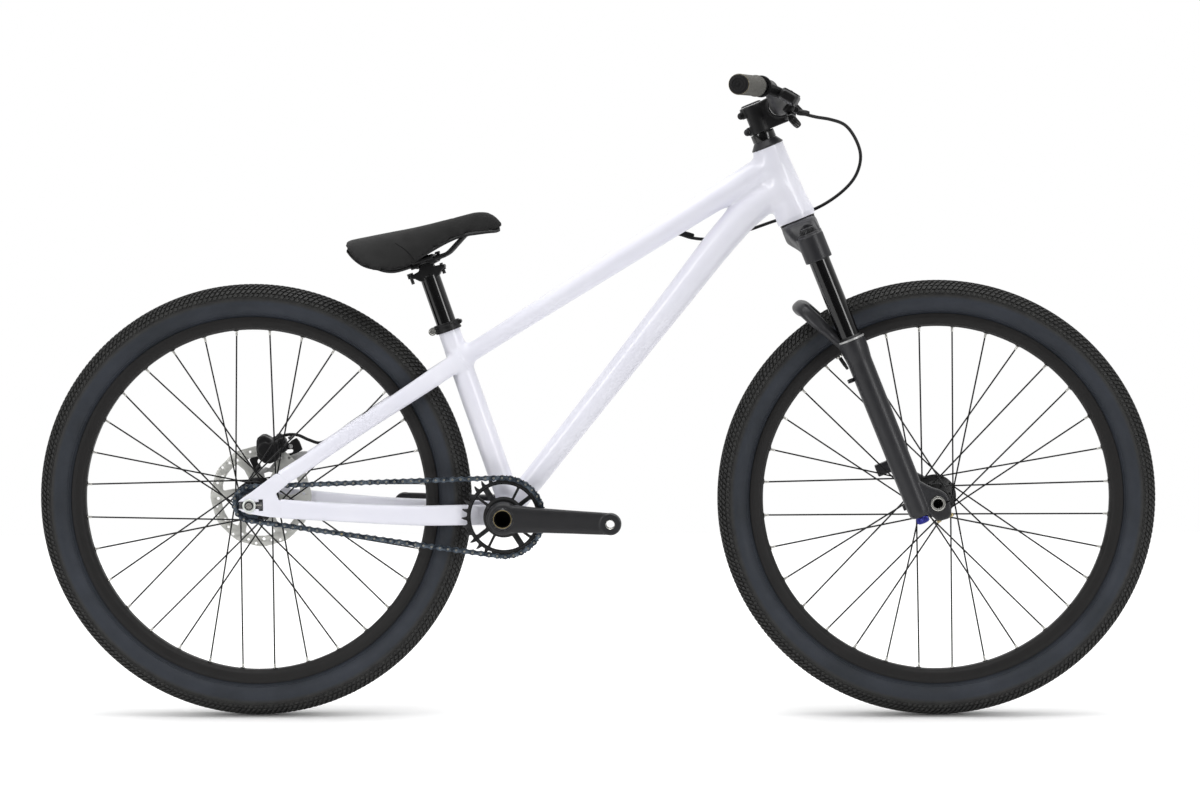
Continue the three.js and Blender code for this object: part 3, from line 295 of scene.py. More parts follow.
def circle(radius, count, at=(0, 0)):
    return [(at[0] + u, at[1] + v) for u, v in (polar(radius, 360 * i / count) for i in range(count))]


def plate(outline, low, high, holes=(), bevel=0.4, steps=1):
    """An outline of [x, z] points as a plate between two places across the bicycle, with eased edges."""
    curve = bpy.data.curves.new("plate", "CURVE")
    curve.dimensions = "2D"
    curve.fill_mode = "BOTH"
    curve.extrude = (high - low) / 2 - bevel
    curve.bevel_depth = bevel
    curve.bevel_resolution = steps
    curve.offset = -bevel
    for ring in [outline, *holes]:
        spline = curve.splines.new("POLY")
        spline.points.add(len(ring) - 1)
        for point, (x, z) in zip(spline.points, ring):
            point.co = (x, z, 0, 1)
        spline.use_cyclic_u = True
    holder = bpy.data.objects.new("plate", curve)
    mesh = bpy.data.meshes.new_from_object(holder)
    work = bmesh.new()
    work.from_mesh(mesh)
    bmesh.ops.remove_doubles(work, verts=work.verts, dist=1e-3)
    points = np.array([(v.co.x, (low + high) / 2 - v.co.z, v.co.y) for v in work.verts])
    faces = [tuple(v.index for v in f.verts) for f in work.faces]
    work.free()
    bpy.data.objects.remove(holder)
    bpy.data.curves.remove(curve)
    bpy.data.meshes.remove(mesh)
    return points, faces


def rectangle(x, z):
    return [(x[0], z[0]), (x[1], z[0]), (x[1], z[1]), (x[0], z[1])]


def block(x, y, z, bevel=0.5):
    return plate(rectangle(x, z), *y, bevel=bevel)


# Objects from shapes, and shapes that need a modifier
def new_object(name, shape, scale=MM):
    points, faces = shape
    mesh = bpy.data.meshes.new(name)
    mesh.from_pydata((points * scale).tolist(), [], faces)
    work = bmesh.new()
    work.from_mesh(mesh)
    bmesh.ops.recalc_face_normals(work, faces=work.faces)
    work.to_mesh(mesh)
    work.free()
    obj = bpy.data.objects.new(name, mesh)
    bpy.context.scene.collection.objects.link(obj)
    return obj


def mesh_points(mesh):
    points = np.zeros(len(mesh.vertices) * 3)
    mesh.vertices.foreach_get("co", points)
    return points.reshape(-1, 3)


def result_of(obj, *others):
    """The shape that an object's modifiers make, and the working objects removed."""
    graph = bpy.context.evaluated_depsgraph_get()
    mesh = bpy.data.meshes.new_from_object(obj.evaluated_get(graph))
    points = mesh_points(mesh)
    faces = [tuple(p.vertices) for p in mesh.polygons]
    for o in (obj, *others):
        data = o.data
        bpy.data.objects.remove(o)
        bpy.data.meshes.remove(data)
    bpy.data.meshes.remove(mesh)
    return points, faces


def carved(shape, *cutters):
    base = new_object("base", shape, 1)
    tools = [new_object("tool", cutter, 1) for cutter in cutters]
    for tool in tools:
        step = base.modifiers.new("carve", "BOOLEAN")
        step.operation = "DIFFERENCE"
        step.object = tool
        step.solver = "EXACT"
    return result_of(base, *tools)


def remeshed(obj, voxel):
    remesh = obj.modifiers.new("remesh", "REMESH")
    remesh.mode = "VOXEL"
    remesh.voxel_size = voxel


def fused(shapes, voxel, rounds, quick_voxel=None):
    """Shapes grown together as one casting, with its inner corners filled and its edges eased."""
    base = new_object("base", merged(*shapes), 1)
    remeshed(base, quick_voxel if quick_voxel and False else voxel)
    if rounds:
        ease = base.modifiers.new("ease", "SMOOTH")
        ease.factor = 0.5
        ease.iterations = rounds
    return result_of(base)


# Materials. Every one has its own variation of colour and gloss, and a fine relief
def srgb(text):
    channels = [int(text[i : i + 2], 16) / 255 for i in (1, 3, 5)]
    return tuple(c / 12.92 if c <= 0.04045 else ((c + 0.055) / 1.055) ** 2.4 for c in channels)


def set_sockets(tree, inputs, values):
    """Links or sets inputs by their names or numbers."""
    for key, value in dict(values).items():
        if isinstance(value, bpy.types.NodeSocket):
            tree.links.new(value, inputs[key])
        else:
            inputs[key].default_value = value


def add_node(tree, kind, values, settings):
    node = tree.nodes.new(kind)
    for key, value in settings.items():
        setattr(node, key, value)
    set_sockets(tree, node.inputs, values)
    return node


class Nodes:
    """A material's nodes, with short ways to add and link them."""

    def __init__(self, name):
        self.material = bpy.data.materials.new(name)
        self.material.use_nodes = True
        self.tree = self.material.node_tree
        self.shader = self.tree.nodes["Principled BSDF"]
        self.place = self.tree.nodes.new("ShaderNodeTexCoord").outputs["Object"]

    def add(self, kind, values=(), **settings):
        return add_node(self.tree, kind, values, settings)

    def beside(self, axle):
        """The object's own place as seen along an axle that runs across the bicycle, and from that axle."""
        values = {"Vector": self.place, "Scale": (1, 0, 1), "Location": (-axle[0] * MM, 0, -axle[2] * MM)}
        return self.add("ShaderNodeMapping", values).outputs[0]

    def noise(self, scale, detail=3.0, rough=0.55):
        values = {"Vector": self.place, "Scale": scale, "Detail": detail, "Roughness": rough}
        return self.add("ShaderNodeTexNoise", values).outputs["Fac"]

    def ranged(self, value, low, high, start=0.3, stop=0.7):
        values = {"Value": value, "From Min": start, "From Max": stop, "To Min": low, "To Max": high}
        return self.add("ShaderNodeMapRange", values).outputs[0]

    def math(self, operation, a, b=0.0):
        return self.add("ShaderNodeMath", {0: a, 1: b}, operation=operation).outputs[0]

    def between(self, share, first, second):
        """Two colours mixed. A Mix node takes colours at its inputs 6 and 7 and gives one at its output 2."""
        first, second = ((*c, 1) if isinstance(c, tuple) else c for c in (first, second))
        return self.add("ShaderNodeMix", {0: share, 6: first, 7: second}, data_type="RGBA").outputs[2]

    def relief(self, height, distance, strength=1.0):
        values = {"Height": height, "Distance": distance, "Strength": strength}
        return self.add("ShaderNodeBump", values).outputs[0]

    def sockets(self, **values):
        """The material, with the main shader's sockets set; an underscore stands for a space."""
        named = {key.replace("_", " "): value for key, value in values.items()}
        set_sockets(self.tree, self.shader.inputs, named)
        return self.material


def shade(color, share):
    return tuple(min(1.0, c * share) for c in color)


def finish(name, color, rough, metal=0.0, mottle=0.08, patch=25.0, grain=900.0, depth=2e-5, gloss_drift=0.06,
           specular=0.5, edge_wear_and_highlight=None, **sockets):
    """A painted, moulded or metal finish: patches of tone, a fine grain, and paler edges where asked, partly
    worn and partly a painted highlight.
    """
    n = Nodes(name)
    base = srgb(color)
    patches = n.noise(patch, 4)
    tone = n.between(n.ranged(patches, 0, 1), shade(base, 1 - mottle), shade(base, 1 + mottle))
    if edge_wear_and_highlight:
        # Convex edges turn paler in patches: partly wear, partly a painted highlight along the edges.
        edge = n.add("ShaderNodeNewGeometry").outputs["Pointiness"]
        patchy = n.ranged(n.noise(140.0, 5), 0, 1, 0.4, 0.65)
        worn_and_lit_edges = n.math("MULTIPLY", n.ranged(edge, 0, 1, 0.515, 0.56), patchy)
        tone = n.between(worn_and_lit_edges, tone, srgb(edge_wear_and_highlight))
    relief = n.relief(n.noise(grain, 2), depth)
    drift = n.ranged(n.noise(patch * 3, 5), rough - gloss_drift, rough + gloss_drift)
    return n.sockets(Base_Color=tone, Roughness=drift, Metallic=metal, Normal=relief,
                     Specular_IOR_Level=specular, **sockets)


def frame_paint():
    """White paint with a cool tint under a clear coat, with a faint orange peel and a few specks of dust."""
    n = Nodes("frame_paint")
    tone = n.between(n.ranged(n.noise(9.0, 3), 0, 1), srgb("#e6e6f1"), srgb("#ececf5"))
    tone = n.between(n.ranged(n.noise(420.0, 6, rough=0.7), 0, 0.18, 0.62, 0.8), tone, srgb("#d3d2dc"))
    peel = n.relief(n.noise(260.0, 2), 1.2e-5)
    return n.sockets(Base_Color=tone, Roughness=n.ranged(n.noise(60.0, 4), 0.3, 0.42), Normal=peel,
                     Coat_Weight=0.4, Coat_Roughness=0.06, Coat_Normal=n.relief(n.noise(180.0, 2), 4e-6))


def rings_about(n, axle, scale):
    """A wave of rings about an axle that runs across the bicycle."""
    values = {"Vector": n.beside(axle), "Scale": scale}
    return n.add("ShaderNodeTexWave", values, wave_type="RINGS", rings_direction="SPHERICAL").outputs["Fac"]


def radius_about(n, axle):
    """The distance from an axle that runs across the bicycle, in metres."""
    return n.add("ShaderNodeVectorMath", {0: n.beside(axle)}, operation="LENGTH").outputs["Value"]


def tyre_rubber(name, axle):
    """Black rubber: a blue-grey tint on the moulded sidewall that paints a sheen, a dull tread, and fine
    moulding rings.
    """
    n = Nodes(name)
    away = radius_about(n, axle)
    # The sidewall's blue-grey is a painted sheen, not the rubber's own colour.
    wall_with_painted_sheen = n.between(n.ranged(n.noise(14.0, 4), 0, 1), srgb("#262a30"), srgb("#30343c"))
    tread = n.between(n.ranged(n.noise(90.0, 5), 0, 1), srgb("#242424"), srgb("#323231"))
    tone = n.between(n.ranged(away, 0, 1, 0.3085, 0.3135), wall_with_painted_sheen, tread)
    dust = n.ranged(n.noise(340.0, 6, rough=0.7), 0, 0.35, 0.58, 0.8)
    tone = n.between(dust, tone, srgb("#4a4946"))
    height = n.math("ADD", n.math("MULTIPLY", rings_about(n, axle, 260.0), 0.5), n.noise(1400.0, 3))
    rough = n.ranged(n.noise(45.0, 4), 0.52, 0.68)
    return n.sockets(Base_Color=tone, Roughness=rough, Normal=n.relief(height, 5e-5),
                     Specular_IOR_Level=0.3)


def turned_metal(name, color, axle, rough, metal):
    """Metal with fine rings left by the tool, about an axle that runs across the bicycle."""
    n = Nodes(name)
    tone = n.between(n.ranged(n.noise(35.0, 5), 0, 1), shade(srgb(color), 0.88), shade(srgb(color), 1.08))
    ringed = n.math("ADD", rings_about(n, axle, 700.0), n.math("MULTIPLY", n.noise(1500.0, 3), 0.6))
    drift = n.ranged(n.noise(120.0, 4), rough - 0.06, rough + 0.1)
    return n.sockets(Base_Color=tone, Metallic=metal, Roughness=drift, Normal=n.relief(ringed, 1.5e-5))


def woven_fabric(name, dark, pale):
    """A tight synthetic cover: a fine twill, a soft sheen and a few paler threads."""
    n = Nodes(name)

    def bands(where, scale, distortion):
        values = {"Vector": where, "Scale": scale, "Distortion": distortion, "Detail": 1.0}
        return n.add("ShaderNodeTexWave", values, bands_direction="DIAGONAL").outputs["Fac"]

    turned = n.add("ShaderNodeMapping", {"Vector": n.place, "Rotation": (0.2, 0.1, 1.45)}).outputs[0]
    weave = n.math("MULTIPLY", bands(n.place, 330.0, 1.2), bands(turned, 300.0, 1.5))
    tone = n.between(n.ranged(n.noise(18.0, 4), 0, 1), srgb(dark), srgb(pale))
    tone = n.between(n.math("MULTIPLY", weave, 0.35), tone, shade(srgb(pale), 1.5))
    height = n.math("ADD", weave, n.math("MULTIPLY", n.noise(700.0, 3), 0.7))
    return n.sockets(Base_Color=tone, Roughness=n.ranged(n.noise(50.0, 4), 0.72, 0.86),
                     Normal=n.relief(height, 1.6e-4, 0.8), Sheen_Weight=0.08, Sheen_Roughness=0.5,
                     Specular_IOR_Level=0.2)


PAINT = frame_paint()
GLOSS_BLACK = finish("gloss_black", "#050506", 0.13, mottle=0.2, depth=4e-6, gloss_drift=0.04,
                     Coat_Weight=0.3, Coat_Roughness=0.05, specular=0.4)
# The pale edge colours below are partly wear and partly a painted highlight along convex edges.
ANODISED = finish("anodised_black", "#171718", 0.4, 0.1, mottle=0.15, patch=40.0, depth=1.2e-5,
                  edge_wear_and_highlight="#4a4a4c", specular=0.3)
BOLT_BLACK = finish("bolt_black", "#1b1b1c", 0.3, 0.4, mottle=0.15, patch=200.0, depth=6e-6, edge_wear_and_highlight="#6a6a6c")
CHARCOAL = finish("crank_charcoal", "#232325", 0.42, 0.15, mottle=0.1, patch=18.0, depth=1.5e-5,
                  edge_wear_and_highlight="#8a8a8c", specular=0.4)
FORK_PAINT = finish("fork_paint", "#262629", 0.4, 0.1, mottle=0.07, patch=12.0, depth=1.8e-5,
                    Coat_Weight=0.15, Coat_Roughness=0.3, specular=0.35)
RIM_PAINT = finish("rim_charcoal", "#1b1a1a", 0.5, 0.1, mottle=0.08, patch=30.0, depth=1.8e-5, specular=0.3)
GRIP_RUBBER = finish("grip_rubber", "#62615d", 0.8, mottle=0.1, patch=30.0, grain=600.0, depth=6e-5,
                     specular=0.2)
PLUG_RUBBER = finish("plug_rubber", "#111112", 0.5, mottle=0.12, patch=60.0, depth=3e-5, specular=0.3)
HOSE_RUBBER = finish("hose_black", "#0f0f10", 0.4, mottle=0.15, patch=60.0, depth=1e-5, specular=0.3)
RECESS_RUBBER = finish("guide_rubber", "#0c0c0d", 0.6, mottle=0.15, patch=80.0, depth=3e-5, specular=0.2)
SPOKE_BLACK = finish("spoke_black", "#070708", 0.36, mottle=0.2, patch=60.0, depth=6e-6, specular=0.3)
CHAIN_STEEL = finish("chain_steel", "#2a323c", 0.34, 0.7, mottle=0.22, patch=160.0, depth=1.4e-5,
                     edge_wear_and_highlight="#76828e")
PIN_STEEL = finish("pin_steel", "#8f8e88", 0.3, 0.9, mottle=0.2, patch=300.0, depth=8e-6)
GOLD = finish("gold_coating", "#ab9c74", 0.3, 0.9, mottle=0.12, patch=200.0, depth=8e-6)
WASHER_STEEL = finish("washer_steel", "#dde1dd", 0.36, 0.35, mottle=0.08, patch=120.0, depth=8e-6)
BRIGHT = finish("bright_steel", "#c4c3be", 0.26, 0.9, mottle=0.1, patch=120.0, depth=8e-6)
ROTOR_STEEL = turned_metal("rotor_steel", "#cdcdc8", REAR_AXLE, 0.4, 0.5)
ADAPTER_SILVER = finish("adapter_silver", "#b5b5b4", 0.4, 0.5, mottle=0.08, patch=90.0, depth=1.4e-5)
PAD_LINING = finish("pad_lining", "#5b544c", 0.8, 0.2, mottle=0.3, patch=700.0, grain=1600.0, depth=6e-5)
DIAL_BLUE = finish("dial_blue", "#2c2f86", 0.34, 0.5, mottle=0.14, patch=90.0, depth=8e-6)
SADDLE_FABRIC = woven_fabric("saddle_fabric", "#181818", "#222222")
SEAM_THREAD = finish("seam_piping", "#101011", 0.6, mottle=0.15, patch=200.0, grain=1800.0, depth=4e-5,
                     specular=0.2)
SADDLE_SHELL = finish("saddle_shell", "#1a1a1b", 0.45, mottle=0.12, patch=50.0, grain=1100.0, depth=4e-5,
                      specular=0.35)
RAIL_BLACK = finish("rail_steel", "#101011", 0.3, 0.3, mottle=0.15, patch=60.0, depth=8e-6)
REAR_RUBBER = tyre_rubber("rear_tyre_rubber", REAR_AXLE)
FRONT_RUBBER = tyre_rubber("front_tyre_rubber", FRONT_AXLE)
TUBE_RUBBER = finish("tube_rubber", "#1a1a1b", 0.6, mottle=0.12, patch=40.0, depth=2e-5, specular=0.3)
# Near black for holes, hollows and grooves: a painted shade.
PAINTED_SHADE = finish("painted_shade_black", "#040405", 0.7, mottle=0.2, patch=90.0, depth=1e-5, specular=0.1)


# The slot of the part that each material fills, where a piece names no other
SLOTS = {PAINT: "frame_paint", GLOSS_BLACK: "stanchion_black", ANODISED: "anodised_black",
         BOLT_BLACK: "anodised_black", CHARCOAL: "crank_charcoal", FORK_PAINT: "fork_paint",
         RIM_PAINT: "rim_charcoal", GRIP_RUBBER: "grip_rubber", PLUG_RUBBER: "grip_rubber",
         HOSE_RUBBER: "hose_black", RECESS_RUBBER: "hose_black", SPOKE_BLACK: "spoke_black",
         CHAIN_STEEL: "chain_steel", PIN_STEEL: "chain_steel", GOLD: "bright_steel",
         WASHER_STEEL: "bright_steel", BRIGHT: "bright_steel", ROTOR_STEEL: "bright_steel",
         ADAPTER_SILVER: "adapter_silver", PAD_LINING: "pad_lining", DIAL_BLUE: "dial_blue",
         SADDLE_FABRIC: "saddle_fabric", SEAM_THREAD: "saddle_fabric", SADDLE_SHELL: "saddle_shell",
         RAIL_BLACK: "rail_steel", REAR_RUBBER: "tyre_rubber", FRONT_RUBBER: "tyre_rubber",
         TUBE_RUBBER: "tube_rubber"}


# Pieces of the bicycle
def piece(name, shape, material, body, replaces=(), sharp=32, slot=None):
    """A piece that rides on a body and stands for solids. Its slot, its material's unless named, is worked
    out but not used.
    """
    obj = new_object(name, shape)
    obj.data.materials.append(material)
    obj.data.shade_smooth()
    obj.data.set_sharp_from_angle(angle=math.radians(sharp))
    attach(obj, body)
    if replaces:
        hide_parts(*replaces)
    slot = slot or SLOTS.get(material)
    return obj


# The frame: one skin grown round the tubes, as welded and painted aluminium
def smooth_union(a, b, reach):
    """Two distances joined with a fillet as wide as reach."""
    h = np.maximum(reach - np.abs(a - b), 0) / reach
    return np.minimum(a, b) - h * h * reach / 4


class Tube:
    """A tube along rows, as a mesh and as a distance from its surface."""

    def __init__(self, rows, power=2.0, per_span=8):
        self.rows, self.power = rows, power
        self.places, self.ways, self.halves = stations(rows, per_span)
        self.wide, self.tall = frames(self.ways, (0, 1, 0))

    def mesh(self):
        return sweep(self.rows, 8, 40, self.power)

    def distance(self, points):
        a, b = self.places[:-1], self.places[1:]
        step = b - a
        share = np.einsum("mnk,nk->mn", points[:, None] - a, step) / np.einsum("nk,nk->n", step, step)
        share = np.clip(share, 0, 1)
        off = points[:, None] - (a + share[..., None] * step)
        best = np.argmin(np.einsum("mnk,mnk->mn", off, off), 1)
        row = np.arange(len(points))
        t = share[row, best][:, None]

        def at(values):
            return values[best] * (1 - t) + values[best + 1] * t

        off = points - at(self.places)
        wide, tall, half = at(self.wide), at(self.tall), at(self.halves)
        u = np.abs(np.einsum("mk,mk->m", off, wide)) / half[:, 0]
        v = np.abs(np.einsum("mk,mk->m", off, tall)) / half[:, 1]
        size = np.maximum((u ** self.power + v ** self.power) ** (1 / self.power), 1e-6)
        away = np.linalg.norm(off, axis=1) * (1 - 1 / size)
        for end, way in ((0, -self.ways[0]), (-1, self.ways[-1])):
            away = np.maximum(away, (points - self.places[end]) @ way)
        return away


# Rows of x, y, z, half width and half height along each tube
TOP_TUBE = [(-212, 0, 549.7, 15, 14), (-112.5, 0, 611.5, 15.5, 14.2), (27, 0, 698.2, 17, 16.5),
            (166, 0, 784.5, 19, 18.4), (285, 0, 857, 20, 20.5)]
DOWN_TUBE = [(-137, 0, 314.8, 17, 17.5), (-92, 0, 370, 17, 17.6), (-45.2, 0, 428.5, 17.5, 17.8),
             (40, 0, 535.6, 18.5, 19.5), (126.5, 0, 644, 20, 21.2), (196, 0, 732, 22, 23.4),
             (232, 0, 772, 23, 23.8), (262, 0, 797, 23, 23.8), (292, 0, 817, 21, 21)]
CHAINSTAY = [(-479, -70.8, 331.6, 3.6, 14.6), (-462, -69.6, 330.4, 6.5, 14.6), (-430, -66.5, 327.8, 8, 14.4),
             (-389, -60.5, 324.6, 9, 14.2), (-330, -51.5, 320.2, 9, 14.6), (-262, -43, 317, 8.5, 15.6),
             (-226, -38.2, 316.7, 6.2, 15.8), (-198, -33.5, 316.5, 6, 15.8), (-170, -27.5, 315.6, 6, 15.6),
             (-145, -23, 314.9, 6, 15)]
SEATSTAY = [(-475.9, -70.4, 377.8, 4.2, 11.8), (-455, -69, 390.8, 6.6, 11.8), (-440, -67.5, 400, 7.6, 11.8),
            (-390, -62, 433.6, 8, 12), (-348, -55.5, 461.2, 8, 12.4), (-300, -47.5, 492, 8, 13),
            (-270, -41, 511.4, 8, 13.6), (-250, -33.5, 524.4, 8, 14), (-232, -25, 536, 8, 14),
            (-205, -14, 553.5, 8, 14)]
# Rows of place and radius along a tube that is turned about its own axis
HEAD_TUBE = [(-127, 29.8), (-119, 29.8), (-112, 30.4), (-86, 27.3), (-20, 24.4), (8, 24.1)]
SEAT_LENGTH = (SEAT_TUBE_TOP[2] - BB[2]) / math.cos(math.radians(SEAT_TUBE_LEAN))


def local(points, group):
    m = np.array(group.inverted())
    return points @ m[:3, :3].T + m[:3, 3]


def turned_distance(points, group, profile):
    """The distance from a shape turned about a group's Z, by a profile of [place, radius]."""
    p = local(points, group)
    places, radii = zip(*profile)
    away = np.hypot(p[:, 0], p[:, 1]) - np.interp(p[:, 2], places, radii)
    return np.maximum(away, np.maximum(p[:, 2] - places[-1], places[0] - p[:, 2]))


BB_SHELL_RADIUS = 22
BB_SHELL_HALF = 42
SEAT_TUBE = [(-SEAT_LENGTH, 18), (-110, 18), (-20, 17), (16, 17)]
MAIN_FILLET = 11
SEATSTAY_FILLET = 8
SHELL_FILLET = 10
CHAINSTAY_FILLET = 5


def frame_distance(points, tubes):
    """The distance from the welded frame, its tubes joined with fillets. The right stays stand for both."""
    right = np.stack([points[:, 0], -np.abs(points[:, 1]), points[:, 2]], 1)
    head = turned_distance(points, STEERING, HEAD_TUBE)
    seat = turned_distance(points, SEAT, SEAT_TUBE)
    around = points - np.array(BB)
    shell = np.maximum(np.hypot(around[:, 0], around[:, 2]) - BB_SHELL_RADIUS,
                       np.abs(around[:, 1]) - BB_SHELL_HALF)
    away = smooth_union(head, tubes["top"].distance(points), MAIN_FILLET)
    away = smooth_union(away, tubes["down"].distance(points), MAIN_FILLET)
    away = smooth_union(away, seat, MAIN_FILLET)
    away = smooth_union(away, tubes["seatstay"].distance(right), SEATSTAY_FILLET)
    away = smooth_union(away, shell, SHELL_FILLET)
    return smooth_union(away, tubes["chainstay"].distance(right), CHAINSTAY_FILLET)


def relaxed(points, edges, rounds, share=0.5):
    """Points drawn towards the middle of their neighbours."""
    count = np.zeros(len(points))
    np.add.at(count, edges.ravel(), 1)
    for _ in range(rounds):
        total = np.zeros_like(points)
        np.add.at(total, edges[:, 0], points[edges[:, 1]])
        np.add.at(total, edges[:, 1], points[edges[:, 0]])
        points = points + share * (total / np.maximum(count, 1)[:, None] - points)
    return points


def edges_of(faces):
    pairs = {tuple(sorted((f[i], f[i - 1]))) for f in faces for i in range(len(f))}
    return np.array(sorted(pairs))


def onto_surface(points, distance, rounds=3, reach=4.0):
    """Points moved along the slope of a distance until it is nothing."""
    step = 0.2
    for _ in range(rounds):
        here = distance(points)
        slope = np.stack([(distance(points + np.eye(3)[k] * step) - here) / step for k in range(3)], 1)
        size = np.maximum(np.einsum("mk,mk->m", slope, slope), 0.2)
        move = -(here / size)[:, None] * slope
        length = np.linalg.norm(move, axis=1)[:, None]
        points = points + move * np.minimum(1, reach / np.maximum(length, 1e-9))
    return points


def in_parts(distance, size=20000):
    def whole(points):
        return np.concatenate([distance(points[i : i + size]) for i in range(0, len(points), size)])
    return whole


SLOPE_STEP = 0.4
SHADE_AGREEMENT = 0.93


def shade_by(obj, distance):
    """Shading that follows the true surface wherever the piece lies on it, and its own faces elsewhere."""
    mesh = obj.data
    points = mesh_points(mesh) / MM
    steps = np.eye(3) * SLOPE_STEP
    slope = np.stack([distance(points + step) - distance(points - step) for step in steps], 1)
    slope /= np.maximum(np.linalg.norm(slope, axis=1)[:, None], 1e-9)
    corners = np.zeros(len(mesh.loops), np.int32)
    mesh.loops.foreach_get("vertex_index", corners)
    own = np.zeros(len(corners) * 3)
    mesh.corner_normals.foreach_get("vector", own)
    own = own.reshape(-1, 3)
    true = slope[corners]
    agree = np.einsum("mk,mk->m", own, true) > SHADE_AGREEMENT
    mesh.normals_split_custom_set(np.where(agree[:, None], true, own).tolist())


# Each round draws the points together and then a little further apart, so that ripples go and the size stays
EASE = 0.5
EASE_BACK = 0.52
EASE_ROUNDS = 8


def frame_skin():
    tubes = {"top": Tube(TOP_TUBE), "down": Tube(DOWN_TUBE, per_span=6),
             "chainstay": Tube(CHAINSTAY, 3.0, 5), "seatstay": Tube(SEATSTAY, 2.4, 5)}

    def turned_about_z(profile, group):
        outline = [(0, profile[0][0]), *[(r, z) for z, r in profile], (0, profile[-1][0])]
        return placed(upright(lathe(outline, 64)), group)

    head, seat = turned_about_z(HEAD_TUBE, STEERING), turned_about_z(SEAT_TUBE, SEAT)
    shell = shifted(rod(BB_SHELL_RADIUS, -BB_SHELL_HALF, BB_SHELL_HALF, 0, 64), *BB)
    stays = [tubes[name].mesh() for name in ("chainstay", "seatstay")]
    parts = [head, seat, shell, tubes["top"].mesh(), tubes["down"].mesh(), *stays, *map(mirrored, stays)]
    points, faces = fused(parts, 2.2, 0, 3.0)
    distance = in_parts(lambda p: frame_distance(p, tubes))
    edges = edges_of(faces)
    for _ in range(3):
        points = onto_surface(relaxed(points, edges, 4), distance, 2)
    for share in (EASE, -EASE_BACK) * EASE_ROUNDS:
        points = relaxed(points, edges, 1, share)
    head_bore = [(0, -140), (42, -140), (42, -HEAD_TUBE_LENGTH), (28, -HEAD_TUBE_LENGTH), (28, -104),
                 (20.5, -103.5), (18, -16), (22, -15.5), (22, 0), (42, 0), (42, 30), (0, 30)]
    head_cut = placed(upright(lathe(head_bore, 96)), STEERING)
    post_radius, post_end = SEATPOST_RADIUS + 0.3, 30 - SEAT_LENGTH
    seat_bore = [(0, post_end), (post_radius, post_end), (post_radius, 11), (30, 11), (30, 40), (0, 40)]
    seat_cut = placed(upright(lathe(seat_bore, 96)), SEAT)
    shell_bore = [(0, -60), (40, -60), (40, -34), (17.6, -34), (17.6, 34), (40, 34), (40, 60), (0, 60)]
    shell_cut = lathe(shell_bore, 96)
    skin = carved((points, faces), head_cut, seat_cut, shifted(shell_cut, *BB))
    stands_for = ["head_tube", "top_tube", "down_tube", "seat_tube", "right_chainstay", "left_chainstay",
                  "right_seatstay", "left_seatstay"]
    obj = piece("frame_skin", skin, PAINT, "frame", stands_for, sharp=42)
    shade_by(obj, distance)


def dropouts():
    """The plates that hold the axle, with a slot open to the rear."""
    outline = rounded([(-542.5, 342.2, 0.6), (-540.6, 344.6, 2), (-534.7, 349, 8), (-521, 358.2, 30),
                       (-483, 386.6, 6), (-462, 372.5, 6), (-484.3, 354.6, 2.5), (-480.6, 345.2, 3),
                       (-466, 343.6, 4), (-466, 317.5, 4), (-493.5, 318.8, 20), (-518.3, 322.8, 20),
                       (-536, 327.2, 6), (-540.6, 330, 3), (-542.5, 331.6, 0.6), (-511, 331.6, 0),
                       (-511, 328.6, 0.8), (-504.4, 328.6, 1), (-504.4, 346.2, 1), (-511, 346.2, 0.8),
                       (-511, 342.2, 0)], 3)
    right = plate(outline, -74.5, -67.5, bevel=1.1, steps=3)
    piece("right_dropout", right, PAINT, "frame", sharp=50)
    piece("left_dropout", mirrored(right), PAINT, "frame", sharp=50)


# Wheels
def tyre_profile():
    """Half of the casing from the rim to the middle of the tread, as [radius, place]."""
    outer = [(279.9, 12.2), (284.5, 12.6), (287.6, 14.2), (291, 20.2), (297, 25.2), (303, 27.9), (309, 28.6),
             (314.6, 27.9), (319.5, 25.9), (324, 22.7), (328.4, 17.6), (331.4, 11.5), (333, 5.5),
             (333.4, 0)]
    places, _ = curve_through([(r, y, 0) for r, y in outer], 3)
    return [(p[0], p[1]) for p in places]


def tread_block(across_at, long, wide, slant, rise, profile):
    """One block of tread: a slanted brick that stands on the casing, at a place along the tread's arc."""
    reach, heights = profile
    corners = []
    for side, ahead in ((-1, -1), (1, -1), (1, 1), (-1, 1)):
        for level, share in ((-0.6, 1.0), (rise, 0.8)):
            a = across_at + side * wide / 2 * share
            around = (ahead * long / 2 * share) + slant * (side * wide / 2 * share)
            radius = np.interp(a, reach, heights[:, 0])
            y = np.interp(a, reach, heights[:, 1])
            tilt = np.array([np.interp(a, reach, heights[:, 2]), np.interp(a, reach, heights[:, 3])])
            corners.append((radius + tilt[0] * level, y + tilt[1] * level, around))
    faces = [(1, 3, 5, 7), (0, 2, 3, 1), (2, 4, 5, 3), (4, 6, 7, 5), (6, 0, 1, 7)]
    return corners, faces


